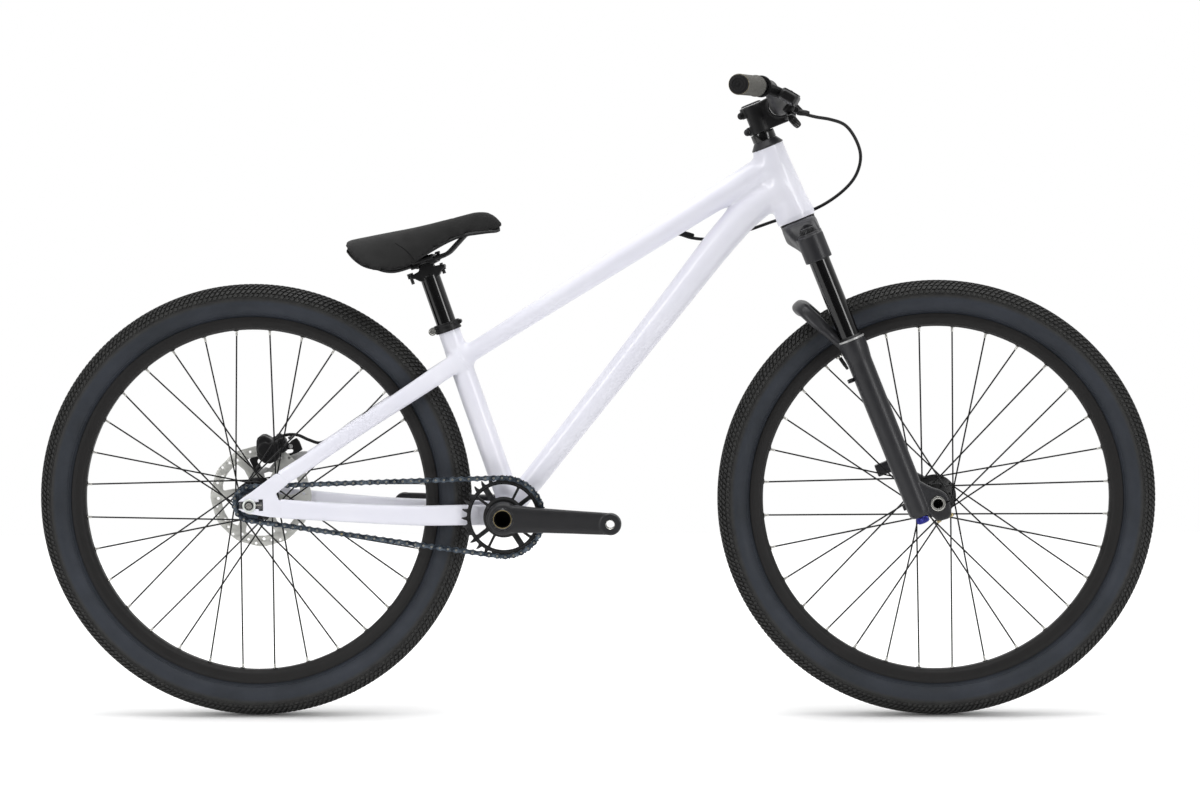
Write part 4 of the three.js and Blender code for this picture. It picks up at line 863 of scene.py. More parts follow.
def tread(profile):
    """Rows of small slanted blocks round the casing, each row a little ahead of the last."""
    half = np.array(profile[::-1])
    line = np.vstack([half[::-1] * (1, -1), half[1:]])
    steps = np.r_[0, np.cumsum(np.hypot(*np.diff(line, axis=0).T))]
    reach = steps - steps[-1] / 2
    way = np.gradient(line, reach, axis=0)
    out = np.stack([np.abs(way[:, 1]), -way[:, 0] * np.sign(way[:, 1] + 1e-9)], 1)
    heights = np.hstack([line, out / np.linalg.norm(out, axis=1)[:, None]])
    order = np.argsort(reach)
    table = (reach[order], heights[order])
    pitch = TURN * TREAD_RADIUS / TREAD_BLOCKS
    rows = [(0, 4.6, 0.25, 2.3), (6, 4.8, 0.5, 2.4), (12.2, 5.0, 0.62, 2.5), (18.6, 5.2, 0.7, 2.6),
            (25.2, 5.6, 0.75, 2.8), (31.6, 4.6, 0.6, 2.2)]
    points, faces = [], []
    for index, (at, wide, slant, rise) in enumerate(rows):
        for side in ((1,) if at == 0 else (1, -1)):
            corners, quads = tread_block(at * side, pitch * 0.6, wide, slant * side, rise, table)
            for k in range(TREAD_BLOCKS):
                turn = TURN * (k + 0.5 * (index % 2) + (0.25 if side < 0 else 0)) / TREAD_BLOCKS
                start = len(points)
                for radius, y, around in corners:
                    angle = turn + around / TREAD_RADIUS
                    points.append((radius * math.cos(angle), y, radius * math.sin(angle)))
                faces += [tuple(start + i for i in q) for q in quads]
    return np.array(points), faces


def tyre(name, group, body, rubber):
    half = tyre_profile()
    outer = half + [(r, -y) for r, y in half[::-1][1:]]
    inner = [(282.5, -9.6), (300, -24), (312, -26), (325, -17), (330, 0), (325, 17), (312, 26), (300, 24),
             (282.5, 9.6)]
    casing = lathe(outer + inner, 200)
    marks = []
    for side in (1, -1):
        for r, y in ((290.2, 19.6), (316.4, 27.9)):
            low, high = side * (y - 0.5), side * (y + 0.45)
            marks.append(lathe([(r - 0.5, low), (r - 0.5, high), (r + 0.5, high), (r + 0.5, low)], 200))
    shape = placed(merged(casing, *marks), group)
    piece(name + "_tyre_casing", shape, rubber, body, [name + "_tyre"])
    piece(name + "_tyre_tread", placed(tread(half), group), rubber, body, sharp=20)


def spoke_angle(index):
    """The angle of a rim hole. Even holes hold right spokes and odd ones left spokes."""
    return (index + 0.5) * SPOKE_HOLE_STEP


def rim(name, group, body):
    half = [(265.2, 0), (265.2, 6, 3), (270, 13.4, 4), (279, 15, 6), (285.5, 15, 0.6), (285.5, 13.4, 0.5),
            (280.6, 13.2, 0.5), (279.6, 11.4, 1), (275.5, 7, 2), (274.8, 0)]
    smooth = rounded(half, 0, 3, closed=False)
    outline = smooth + [(r, -y) for r, y in smooth[::-1][1:-1]]
    piece(name + "_rim_hoop", placed(lathe(outline, 192), group), RIM_PAINT, body, [name + "_rim"])
    eyelets = []
    for i in range(SPOKES):
        at = polar(264.9, spoke_angle(i))
        side = 2.2 if i % 2 else -2.2
        ring = hoop(2.5, 3.9, -0.4, 0.5, 0, 16)
        eyelets.append(aimed(ring, (at[0], side, at[1]), (-at[0], 0, -at[1])))
    piece(name + "_rim_eyelets", placed(merged(*eyelets), group), RIM_PAINT, body)


def hub_end(rim_angle, lead):
    """Three crossings of sixteen holes turn the hub end of a spoke by 67.5 degrees."""
    return rim_angle + lead * THREE_CROSSINGS


NIPPLE = [(0, -3.6), (1.5, -3.6), (1.75, -3.1), (1.75, 1.4), (2.1, 1.8), (2.1, 4.4), (0, 4.4)]


def spokes(name, group, body, flanges):
    """Thirty-two spokes laced three cross, with bent heads at the flanges and nipples at the rim.

    A flange is the place and the radius of its holes.
    """
    wires = {"right": [], "left": []}
    nipples = []
    heads = []
    for i in range(SPOKES):
        side, sign = ("left", 1) if i % 2 else ("right", -1)
        flange, flange_radius = flanges[side]
        lead = -1 if (i // 2) % 2 else 1
        angle = spoke_angle(i)
        x0, z0 = polar(flange_radius, hub_end(angle, lead))
        x1, z1 = polar(258.5, angle)
        start = np.array((x0, flange + lead * 1.7, z0))
        stop = np.array((x1, sign * 3.2 - lead * 0.3, z1))
        way = (stop - start) / np.linalg.norm(stop - start)
        hook = start - np.array((0, lead * 1.7, 0)) - np.array((0, lead * 2.6, 0))
        line = [hook, start - np.array((0, lead * 0.4, 0)), start + way * 2.4, start + way * 6]
        gauges = wire([*line, stop], SPOKE_RADIUS, 8, 3)
        wires[side].append(gauges)
        heads.append(aimed(lathe([(0, -0.9), (1.9, -0.6), (1.9, 0.3), (0, 0.9)], 12), hook, (0, 1, 0)))
        out = np.array((math.cos(math.radians(angle)), 0, math.sin(math.radians(angle))))
        lean = way * 0.75 + out * 0.25
        nipples.append(aimed(lathe(NIPPLE, 12), stop + way * 2.6, lean))
    for side, shapes in wires.items():
        piece(f"{name}_{side}_spoke_wires", placed(merged(*shapes), group), SPOKE_BLACK, body,
              [f"{name}_{side}_spokes"])
    piece(name + "_spoke_heads", placed(merged(*heads), group), SPOKE_BLACK, body)
    piece(name + "_nipples", placed(merged(*nipples), group), BRIGHT, body)


def tube_and_valve(name, group, body, valve_angle):
    ring = lathe([(304 + 16 * math.cos(t), 16 * math.sin(t)) for t in np.arange(12) * TURN / 12], 96)
    stem = [(0, 240), (1.6, 240), (2.4, 241.5), (2.4, 246), (3, 246.5), (3, 274), (2.9, 292), (0, 292)]
    threads = [(3.15 if k % 2 else 2.8, 248 + 0.45 * k) for k in range(40)]
    stem = stem[:5] + threads + stem[5:]
    x, z = polar(1, valve_angle)
    valve = aimed(lathe(stem, 20), (0, 0, 0), (x, 0, z))
    nut = aimed(hoop(3.2, 5.6, 262, 264.8, 0.4, 24), (0, 0, 0), (x, 0, z))
    piece(name + "_tube_and_valve", placed(merged(ring, valve), group), TUBE_RUBBER, body,
          [name + "_inner_tube"])
    piece(name + "_valve_nut", placed(nut, group), BRIGHT, body)


def painted_flange_shade(holes):
    """Dark discs where the spokes pass a flange, a painted shade in the holes: the radius, place and first
    angle of each ring.
    """
    rings = []
    for radius, y, start in holes:
        for k in range(SPOKES // 2):
            x, z = polar(radius, start + 2 * SPOKE_HOLE_STEP * k)
            rings.append(shifted(rod(2.295, -0.25, 0.25, 0.1, 12), x, y, z))
    return merged(*rings)


def rear_wheel():
    body = "rear_wheel"
    tyre("rear", REAR, body, REAR_RUBBER)
    rim("rear", REAR, body)
    spokes("rear", REAR, body, {"right": (-24, 29.5), "left": (27, 29.5)})
    tube_and_valve("rear", REAR, body, -3)
    shell = rounded([(5.4, -51.8), (13.4, -51.8), (13.4, -51), (17, -50.6), (17, -44.9), (15.4, -43.8),
                     (15.4, -37.5), (18.6, -36.5), (19.4, -28.5), (24, -25.6), (32.4, -25.6, 1),
                     (32.4, -22.4, 1), (24, -21.4, 4), (15.2, -14, 10), (14, 0), (15.4, 16, 10),
                     (24, 24.4, 4), (32.4, 25.4, 1), (32.4, 28.6, 1), (20.6, 29.6, 2), (17.4, 36, 4),
                     (17.4, 46, 2), (22, 47.6), (22, ROTOR_Y - 1), (16.6, ROTOR_Y - 1), (16.6, 56.9),
                     (5.4, 56.9)], 0.5, 2)
    piece("rear_hub_shell", placed(lathe(shell, 96), REAR), ANODISED, body, ["rear_hub"])
    # Dark discs in the flange holes: a painted shade.
    holes = painted_flange_shade([(29.5, -25.7, 5.6), (29.5, 28.7, 16.9)])
    piece("rear_flange_hole_shade", placed(holes, REAR), PAINTED_SHADE, body)
    lock = hoop(11, 16.4, -53.6, -50.4, 0.5, 64)
    piece("cog_lockring", placed(lock, REAR), BRIGHT, "cog")


def brake_rotor():
    """A wavy rotor: a drilled band on six leaning arms."""
    turns = [360 * k / 144 for k in range(144)]
    edge = [polar(79.6 - 0.75 * (1 - math.cos(math.radians(12 * turn))), turn) for turn in turns]
    windows, drillings = [], []
    for k in range(6):
        base = 60 * k
        window = [(62.5, base + 6), (63, base + 15), (63, base + 25), (63, base + 35), (62.5, base + 44),
                  (60, base + 52), (45, base + 45), (33, base + 38), (27, base + 31), (26, base + 20),
                  (27, base + 8), (34, base + 4), (48, base + 2)]
        windows.append(rounded([polar(r, a) for r, a in window], 2.5, 2))
    for k in range(36):
        radius = (67.6, 71.4, 75)[k % 3]
        drillings.append(circle(2.1 if k % 3 else 2.5, 12, polar(radius, 10 * k + 3)))
    bolts = [polar(22, 60 * k + 14) for k in range(6)]
    holes = [circle(16.9, 48), *windows, *drillings, *[circle(2.5, 12, at) for at in bolts]]
    disc = plate(edge, ROTOR_Y - 0.9, ROTOR_Y + 0.9, holes, 0.15)
    piece("rotor_disc", placed(disc, REAR), ROTOR_STEEL, "rear_wheel", ["brake_rotor"], sharp=25)
    heads = [shifted(socket_bolt(3.6, 2.0), x, ROTOR_Y + 0.9, z) for x, z in bolts]
    piece("rotor_bolts", placed(merged(*heads), REAR), BRIGHT, "rear_wheel", sharp=25)


def socket_bolt(radius, height, socket=None, segments=24):
    """A cap screw along Y with its head at +Y: eased edges and a six-sided socket."""
    socket = socket or radius * 0.52
    head = lathe([(0, -0.5), (radius, -0.5), (radius, height, radius * 0.22), (socket * 1.12, height, 0.1),
                  (socket * 1.05, height - 0.2, 0)], segments, 0.1, 2)
    hexagon = circle(socket * 1.08, 6)
    rings = [[(x, y, z) for x, z in hexagon] for y in (height - 0.15, height * 0.35)]
    faces = [(j, (j + 1) % 6, 6 + (j + 1) % 6, 6 + j) for j in range(6)] + [tuple(range(6, 12))]
    lip = [(x, height - 0.15, z) for x, z in circle(socket * 1.05, segments)]
    return merged(head, (np.array(rings).reshape(-1, 3), faces),
                  (np.array(lip + [(x, height - 0.15, z) for x, z in hexagon]), ring_fill(segments)))


def ring_fill(segments):
    """Faces between a circle of points and the hexagon that follows it."""
    faces = []
    for j in range(6):
        a, b = j * segments // 6, (j + 1) * segments // 6
        outer = [k % segments for k in range(a, b + 1)]
        faces.append(tuple([*outer, segments + (j + 1) % 6, segments + j]))
    return faces


def front_wheel():
    body = "front_wheel"
    tyre("front", FRONT, body, FRONT_RUBBER)
    rim("front", FRONT, body)
    spokes("front", FRONT, body, {"right": (-29.5, 22.5), "left": (29.5, 29.5)})
    tube_and_valve("front", FRONT, body, 124)
    shell = [(10.4, -54.5), (14.2, -54.5), (14.6, -47), (16.4, -44), (17.5, -36), (19, -33), (26.2, -31.2),
             (26.2, -27.8), (20, -24), (17.4, -15), (17, 0), (17.4, 15), (24, 24.5), (33.2, 27.8),
             (33.2, 31.2), (26, 33), (21, 36), (20.6, 44), (14.6, 47), (14.2, 54.5), (10.4, 54.5)]
    piece("front_hub_shell", placed(lathe(shell, 96, 0.9), FRONT), ANODISED, body, ["front_hub"])
    # Dark discs in the flange holes: a painted shade.
    holes = painted_flange_shade([(22.5, -31.3, 5.6), (29.5, 31.3, 16.9)])
    piece("front_flange_hole_shade", placed(holes, FRONT), PAINTED_SHADE, body)


# Drivetrain
def pitch_radius(teeth):
    return CHAIN_PITCH / (2 * math.sin(math.pi / teeth))


def chain_pins():
    """The chain's pins a pitch apart: round the ring, along the straights and round the cog."""
    ring, cog = pitch_radius(RING_TEETH), pitch_radius(COG_TEETH)
    ahead, up = BB[0] - REAR_AXLE[0], BB[2] - REAR_AXLE[2]
    span, slope = math.hypot(ahead, up), math.atan2(up, ahead)
    flare = math.asin((ring - cog) / span)
    straight = span * math.cos(flare)
    ring_arc, cog_arc = ring * (math.pi + 2 * flare), cog * (math.pi - 2 * flare)
    total = ring_arc + cog_arc + 2 * straight
    upper, lower = slope + math.pi / 2 + flare, slope - math.pi / 2 - flare

    def around(centre, radius, turn):
        return np.array((centre[0] + radius * math.cos(turn), centre[2] + radius * math.sin(turn)))

    def place(s):
        if s < ring_arc:
            return around(BB, ring, upper - s / ring)
        s -= ring_arc
        if s < straight:
            first, last = around(BB, ring, lower), around(REAR_AXLE, cog, lower)
            return first + (last - first) * s / straight
        s -= straight
        if s < cog_arc:
            return around(REAR_AXLE, cog, lower - s / cog)
        first, last = around(REAR_AXLE, cog, upper), around(BB, ring, upper)
        return first + (last - first) * (s - cog_arc) / straight

    return [place(total * i / CHAIN_PITCHES) for i in range(CHAIN_PITCHES)]


def pin_angle(centre, radius):
    """The angle of the middle pin that a sprocket holds, which sets how its teeth stand."""
    away = [(p[0] - centre[0], p[1] - centre[2]) for p in chain_pins()]
    held = [p for p in away if abs(math.hypot(*p) - radius) < 0.05]
    x, z = held[len(held) // 2]
    return math.degrees(math.atan2(z, x))


def link_plate(low, high, eye, waist):
    """A side plate of a chain link, along X from one pin to the next."""
    outline = [polar(eye, a) for a in range(90, 271, 20)]
    outline += [(CHAIN_PITCH / 2 - 1.2, -waist), (CHAIN_PITCH / 2 + 1.2, -waist)]
    outline += [(CHAIN_PITCH + u, v) for u, v in (polar(eye, a) for a in range(270, 451, 20))]
    outline += [(CHAIN_PITCH / 2 + 1.2, waist), (CHAIN_PITCH / 2 - 1.2, waist)]
    return plate(outline, low, high, bevel=0.18)


def chain():
    pins = chain_pins()
    outer_near, outer_far = link_plate(-4.15, -3.1, 4.15, 2.9), link_plate(3.1, 4.15, 4.15, 2.9)
    inner_near, inner_far = link_plate(-2.95, -1.9, 4.0, 2.9), link_plate(1.9, 2.95, 4.0, 2.9)
    roller = rod(3.85, -1.75, 1.75, 0.3, 20)
    bush = rod(2.7, -3.0, 3.0, 0.1, 16)
    rivet = lathe([(0, -4.75), (1.3, -4.7), (1.75, -4.4), (1.75, 4.4), (1.3, 4.7), (0, 4.75)], 16)
    plates, rollers, rivets, quick = [], [], [], []
    quick_at = min(range(CHAIN_PITCHES), key=lambda i: math.hypot(pins[i][0] + 385, pins[i][1] - 292.5))
    for i, (x, z) in enumerate(pins):
        nx, nz = pins[(i + 1) % CHAIN_PITCHES]
        turn = Matrix.Translation((x, CHAIN_LINE, z)) @ Matrix.Rotation(-math.atan2(nz - z, nx - x), 4, "Y")
        pair = (outer_near, outer_far) if i % 2 else (inner_near, inner_far)
        plates += [placed(p, turn) for p in pair]
        rollers += [placed(roller, turn), placed(bush, turn)]
        (quick if i == quick_at else rivets).append(placed(rivet, turn))
    piece("chain_plates", merged(*plates), CHAIN_STEEL, "frame", ["chain"], sharp=30)
    piece("chain_rollers", merged(*rollers), CHAIN_STEEL, "frame", sharp=30)
    piece("chain_rivets", merged(*rivets), PIN_STEEL, "frame", sharp=30)
    piece("quick_link_pin", merged(*quick), GOLD, "frame", sharp=30, slot="chain_steel")


def tooth_outline(count, radius, start, lean=0.0):
    """Sprocket teeth: round roots for the rollers between narrow tips, leaning back where asked."""
    root, tip, step = radius - 4.0, radius + 4.2, 360 / count
    outline = []
    for i in range(count):
        here = start + step * i
        shares = [(root, -0.2), (root, 0.2), (root + 1.7, 0.295), (radius + 0.6, 0.35),
                  (tip - 1.2, 0.415 - lean), (tip, 0.46 - lean), (tip, 0.53 - lean),
                  (tip - 1.4, 0.575 - lean * 0.7), (radius + 0.4, 0.645), (root + 1.6, 0.71)]
        outline += [polar(away, here + share * step) for away, share in shares]
    return outline


def chainring():
    radius = pitch_radius(RING_TEETH)
    start = pin_angle(BB, radius) + CRANK_DROOP
    arms = [(40, 3.4), (65.5, 2.0), (125, 4.6), (145.5, 2.0), (220, 3.4), (245.5, 2.0), (305, 4.6),
            (325.5, 2.0)]
    windows = []
    for i, (angle, half) in enumerate(arms):
        stop, stop_half = arms[(i + 1) % len(arms)]
        stop += 360 if stop < angle else 0

        def arc(reach, steps):
            low = angle + math.degrees(half / reach)
            high = stop - math.degrees(stop_half / reach)
            return [polar(reach, low + (high - low) * k / steps) for k in range(steps + 1)]

        steps = 8 if stop - angle > 40 else 4
        outer, inner = arc(51.5, steps), arc(31.5, steps)[::-1]
        window = [(*outer[0], 3.5), *outer[1:-1], (*outer[-1], 3.5), (*inner[0], 3.5), *inner[1:-1],
                  (*inner[-1], 3.5)]
        windows.append(rounded(window, 0, 3))
    ring = plate(tooth_outline(RING_TEETH, radius, start, 0.05), CHAIN_LINE - 1.3, CHAIN_LINE + 1.3,
                 [circle(14.9, 48), *windows], 0.35)
    land = hoop(50.8, 53.4, CHAIN_LINE - 2.2, CHAIN_LINE + 1.9, 0.6, 128)
    hub = lathe([(14.9, -51), (28, -51), (30.4, -49.4), (30.4, -46.6), (14.9, -46.6)], 96, 0.5)
    piece("chainring_plate", placed(merged(ring, land, hub), CRANKS), ANODISED, "cranks", ["chainring"],
          sharp=25)
    # A dark ring on the land: a painted shade in a groove.
    groove = hoop(51.4, 52.1, CHAIN_LINE - 2.25, CHAIN_LINE - 2.1, 0, 96)
    piece("chainring_groove_shade", placed(groove, CRANKS), PAINTED_SHADE, "cranks")


def rear_cog():
    radius = pitch_radius(COG_TEETH)
    cog = plate(tooth_outline(COG_TEETH, radius, pin_angle(REAR_AXLE, radius)), CHAIN_LINE - 1.2,
                CHAIN_LINE + 1.2, [circle(17.3, 48)], 0.3)
    piece("cog_plate", placed(cog, REAR), CHAIN_STEEL, "cog", ["rear_cog"], sharp=25)


def crank_arm():
    """A forged arm along X, narrower outwards, with its hub and its eye."""
    rows = [(0, -64.5, 0, 13.8, 22.4), (30, -67.4, 0, 11, 20.2), (63, -69.6, 0, 8.8, 18.6),
            (110, -73, 0, 7, 17.6), (150, -76.2, 0, 6.6, 17.0), (165, -77.4, 0, 6.6, 16.6)]
    arm = sweep(rows, 6, 48, 4.5)
    hub = lathe([(0, -51.6), (25, -51.6), (25, -74.5, 4), (21, -78.3, 2), (0, -78.3)], 96, 1, 4)
    eye = shifted(lathe([(0, -70.8), (16.9, -70.8), (16.9, -84), (0, -84)], 64, 2.2, 4), CRANK_LENGTH)
    body = fused([arm, hub, eye], 1.0, 5)
    bore = rod(14.7, -100, -40, 0, 64)
    step = rod(17.5, -100, -77.4, 0, 64)
    pedal = shifted(rod(7.1, -110, -50, 0, 40), CRANK_LENGTH)
    return carved(body, bore, step, pedal)


def cranks():
    arm = crank_arm()
    left = placed(arm, Matrix.Rotation(math.pi, 4, "Z"))
    crests = [(7.05 if k % 2 else 6.4, 71 + k * 0.62) for k in range(21)]
    thread = lathe([*crests, (7.3, 84.3), (7.3, 71)], 48)
    ring = hoop(13.2, 14.1, 76.5, 78.3, 0.3, 64)
    for side, shape, sign in (("right", arm, -1), ("left", left, 1)):
        piece(side + "_crank_forging", placed(shape, CRANKS), CHARCOAL, "cranks", [side + "_crank_arm"],
              sharp=38)
        threads = shifted(on_side(thread, sign), -sign * CRANK_LENGTH)
        piece(side + "_pedal_thread", placed(threads, CRANKS), BRIGHT, "cranks")
        piece(side + "_preload_ring", placed(on_side(ring, sign), CRANKS), GOLD, "cranks")
    # The spindle and the discs in its ends are near black: a painted shade inside the bore.
    tube = hoop(11.6, 14.5, -77.6, 77.6, 0, 64)
    piece("spindle_tube_in_painted_shade", placed(tube, CRANKS), PAINTED_SHADE, "cranks", ["crank_spindle"], slot="bright_steel")
    end_shade_discs = merged(*[lathe([(0, y), (11.7, y), (11.7, y + 0.8), (0, y + 0.8)], 48) for y in (-55, 54)])
    piece("spindle_end_shade", placed(end_shade_discs, CRANKS), PAINTED_SHADE, "cranks")
    bolts = [shifted(upright(socket_bolt(3.4, 3.0)), x, 67, 19.2) for x in (-18, -30)]
    piece("left_pinch_bolts", placed(merged(*bolts), CRANKS), GOLD, "cranks", sharp=25)


BB_CUP_NOTCHES = 16


def bottom_bracket():
    corners = 6 * BB_CUP_NOTCHES
    ring = [polar(21.6 if k % 6 < 4 else 20.6, 360 * k / corners) for k in range(corners)]
    lip = [(15.5, -43.6), (19.6, -43.6), (21.2, -42, 1), (21.2, -41, 0.3), (15.5, -41)]
    cup = merged(plate(ring, -41.6, -36, [circle(16.4, 48)], 0.25), lathe(lip, 96, 0.4),
                 hoop(15.8, 22.2, -36.4, -34.2, 0.3, 96))
    for side, shape in (("right", cup), ("left", mirrored(cup))):
        piece(side + "_cup", shifted(shape, *BB), ANODISED, "frame", [side + "_bottom_bracket_cup"],
              sharp=25)


# Fork and steering, in the steering axis's own frame: X across the axis towards the front, Z up it
def along(shape, x=0, y=0, z=0):
    """A shape turned about Z at a place beside the steering axis, in the bicycle's frame."""
    return placed(shifted(upright(shape), x, y, z), STEERING)


def both_sides(half):
    """Rows from one side to the middle, carried on to the other side."""
    return half + [(x, -y, *rest) for x, y, *rest in half[-2::-1]]


LEG_X, LEG_Y = 8.6, 64
FORK_AXLE = (38.65, 0, -596.3)
STEM_CLAMP = (40.4, 0, 52.8)


def at_legs(shape):
    """A shape turned about Z, once for each fork leg."""
    return [shifted(upright(shape), LEG_X, y) for y in (-LEG_Y, LEG_Y)]


def fork_crown():
    rows = both_sides([(9.2, -64, -165, 19.4, 19.8), (8.6, -50, -158, 20.3, 20.8),
                       (2.3, -34, -141, 25.2, 19), (0.6, -18, -137, 28, 16.6), (0.4, 0, -137, 28.2, 16.6)])
    bridge = sweep(rows, 6, 56, 5, across=(1, 0, 0), round_ends=3)
    foot = upright(lathe([(0, -140), (26.5, -140), (27.5, -123.5), (27.5, -121.5), (19.5, -121.5),
                          (19.5, -106), (0, -106)], 64))
    sockets = at_legs(rod(21, -186.3, -146.3, 1.2, 64))
    collar = lathe([(0, -150), (15.6, -150), (15.6, -143.4), (14.4, -142.2), (0, -142.2)], 48)
    collar = shifted(upright(collar), LEG_X, -LEG_Y, 0)
    crown = fused([bridge, foot, *sockets, collar], 1.0, 5, 1.6)
    bores = at_legs(rod(16.3, -230, -152.3, 0, 64))
    seat = shifted(upright(rod(13.4, -146.3, -100, 0, 48)), LEG_X, -LEG_Y, 0)
    hollow = upright(rod(15, -180, -118, 0, 48))
    crown = carved(crown, *bores, seat, hollow)
    piece("crown_forging", placed(crown, STEERING), FORK_PAINT, "steering", ["crown_and_steerer"], sharp=40)
    steerer = lathe([(11.6, -118), (19, -118), (19.5, -104), (14.3, -80), (14.3, 66), (11.6, 66)], 64)
    race = hoop(19.6, 28, -121.3, -120.3, 0.2, 64)
    piece("steerer_tube", along(steerer), RAIL_BLACK, "steering", slot="fork_paint")
    piece("crown_race", along(race), ANODISED, "steering")
    cap = lathe([(0, -146.2), (13.6, -146.2), (13.6, -143.2), (12.2, -142), (0, -142)], 64, 0.5, 2)
    piece("spring_cap", along(cap, LEG_X, LEG_Y), ANODISED, "steering")


def fork_knobs():
    ribs = [polar(12.6 if k % 3 else 11.9, 360 * k / 84) for k in range(84)]
    dial = plate(ribs, -144.6, -136.4, bevel=0.5, steps=2)
    crest = lathe([(0, -137), (11.4, -137), (11.4, -134.9), (9.6, -134.3), (3, -134.3), (2.2, -135.2),
                   (0, -135.2)], 64, 0.4, 2)
    skirt = lathe([(0, -146), (12.3, -146), (12.3, -144.2), (0, -144.2)], 64, 0.3, 2)
    lever = block((-1.6, 1.6), (-136, -134.1), (-11.5, 1), 0.5)
    piece("compression_dial_knob", along(merged(dial, crest, skirt, lever), LEG_X, -LEG_Y), ANODISED,
          "compression_dial", ["compression_knob"], sharp=30)
    knurl = [polar(9.9 if k % 2 else 9.2, 360 * k / 60) for k in range(60)]
    grip = plate(knurl, -615.6, -608.2, bevel=0.5, steps=2)
    tip = lathe([(0, -617), (7.8, -617), (9.0, -615.8), (9.0, -606.6), (0, -606.6)], 64, 0.6, 2)
    piece("rebound_dial_knob", along(merged(grip, tip), 8, -LEG_Y), DIAL_BLUE, "rebound_dial",
          ["rebound_knob"], sharp=30)


def stanchions():
    tube = hoop(13.4, 16, -492, -152.7, 0, 96)
    for side, y in (("right", -LEG_Y), ("left", LEG_Y)):
        piece(side + "_stanchion_tube", along(tube, LEG_X, y), GLOSS_BLACK, "steering",
              [side + "_stanchion"])


def fork_lowers():
    legs = at_legs(lathe([(0, -606), (14.4, -606), (17.4, -601.5), (17.8, -596), (18.8, -352), (20.9, -334),
                          (21, -320), (20.6, -317), (0, -317)], 96))
    arch = sweep(both_sides([(-3, -64, -328, 6, 9), (-14, -63, -302, 6.5, 10), (-29, -58, -274, 7, 10.5),
                            (-40, -44, -252, 8, 10.5), (-45.5, -22, -247, 10, 10.5),
                            (-46.5, 0, -246.5, 10, 10.5)]), 8, 32, 2.8, across=(0.35, 0, -0.94))
    lug_outline = rounded([(14, -540), (26, -556), (38, -570), (49, -579), (55.5, -588), (56.8, -598),
                           (54.5, -609), (51.5, -619), (46, -624), (28, -622), (19.5, -604.5), (12, -602),
                           (8, -548)], 5, 3)
    lug = plate(lug_outline, -75.4, -55, bevel=2.2, steps=3)
    tabs = [block((-31, 0), (57, 71), (-541, -522), 1.5), block((-14, 2), (57, 71), (-605, -596.5), 1.5)]
    casting = fused([*legs, arch, lug, mirrored(lug), *tabs], 1.25, 5, 2.0)
    bores = at_legs(rod(16.4, -597, -280, 0, 96))
    axle = shifted(rod(11.6, -90, -40, 0, 48), *FORK_AXLE)
    split = block((46, 70), (-90, -40), (-600.2, -597.6), 0.1)
    foot = shifted(upright(rod(10.4, -640, -604.5, 0, 48)), LEG_X - 1, -LEG_Y, 0)
    casting = carved(casting, *bores, axle, mirrored(axle), split, foot)
    piece("lowers_casting", placed(casting, STEERING), FORK_PAINT, "lower_legs", ["fork_lowers"], sharp=40)
    for side, y in (("right", -LEG_Y), ("left", LEG_Y)):
        seal = lathe([(16.15, -318.5), (20, -318.5), (20, -314.6), (18.4, -313), (16.6, -310.4),
                      (16.15, -310.4)], 96, 0.5, 2)
        ring = lathe([(18.8, -317), (21, -317), (21, -314.2), (18.6, -314.2)], 96, 0.4)
        piece(side + "_dust_seal", along(seal, LEG_X, y), HOSE_RUBBER, "lower_legs", slot="anodised_black")
        piece(side + "_seal_ring", along(ring, LEG_X, y), ADAPTER_SILVER, "lower_legs", slot="bright_steel")
    loop = [(4.6 + 1.4 * math.cos(a), 1.4 * math.sin(a)) for a in np.linspace(0, TURN, 16, endpoint=False)]
    guide = merged(shifted(upright(lathe(loop, 32)), -14.2, -64, -373),
                   shifted(upright(lathe(loop, 32)), -14.2, -64, -376))
    piece("hose_loop_on_leg", placed(guide, STEERING), FORK_PAINT, "lower_legs")
    foot_nut = lathe([(0, -612.4), (5.4, -612.4), (5.4, -605), (0, -605)], 6, 0.6, 2)
    piece("left_foot_nut", along(foot_nut, LEG_X, LEG_Y), BRIGHT, "lower_legs", sharp=20)
    bolts = [aimed(socket_bolt(3.6, 4), (x, -66, z), (0.2, 0, -0.98))
             for x, z in ((30, -621), (50.5, -619.5))]
    piece("axle_pinch_bolts", placed(merged(*bolts), STEERING), GOLD, "lower_legs", sharp=25)
    axle = lathe([(7.6, -77.6), (11.3, -77.6), (11.3, -75.8), (10, -75.7), (10, 76), (7.6, 76)], 64, 0.4)
    # A dark disc inside the hollow axle: a painted shade.
    dark = lathe([(0, -60), (7.5, -60), (7.5, -59), (0, -59)], 48)
    piece("through_axle", placed(shifted(axle, *FORK_AXLE), STEERING), BRIGHT, "lower_legs", ["front_axle"])
    piece("axle_hollow_shade", placed(shifted(dark, *FORK_AXLE), STEERING), PAINTED_SHADE, "lower_legs")


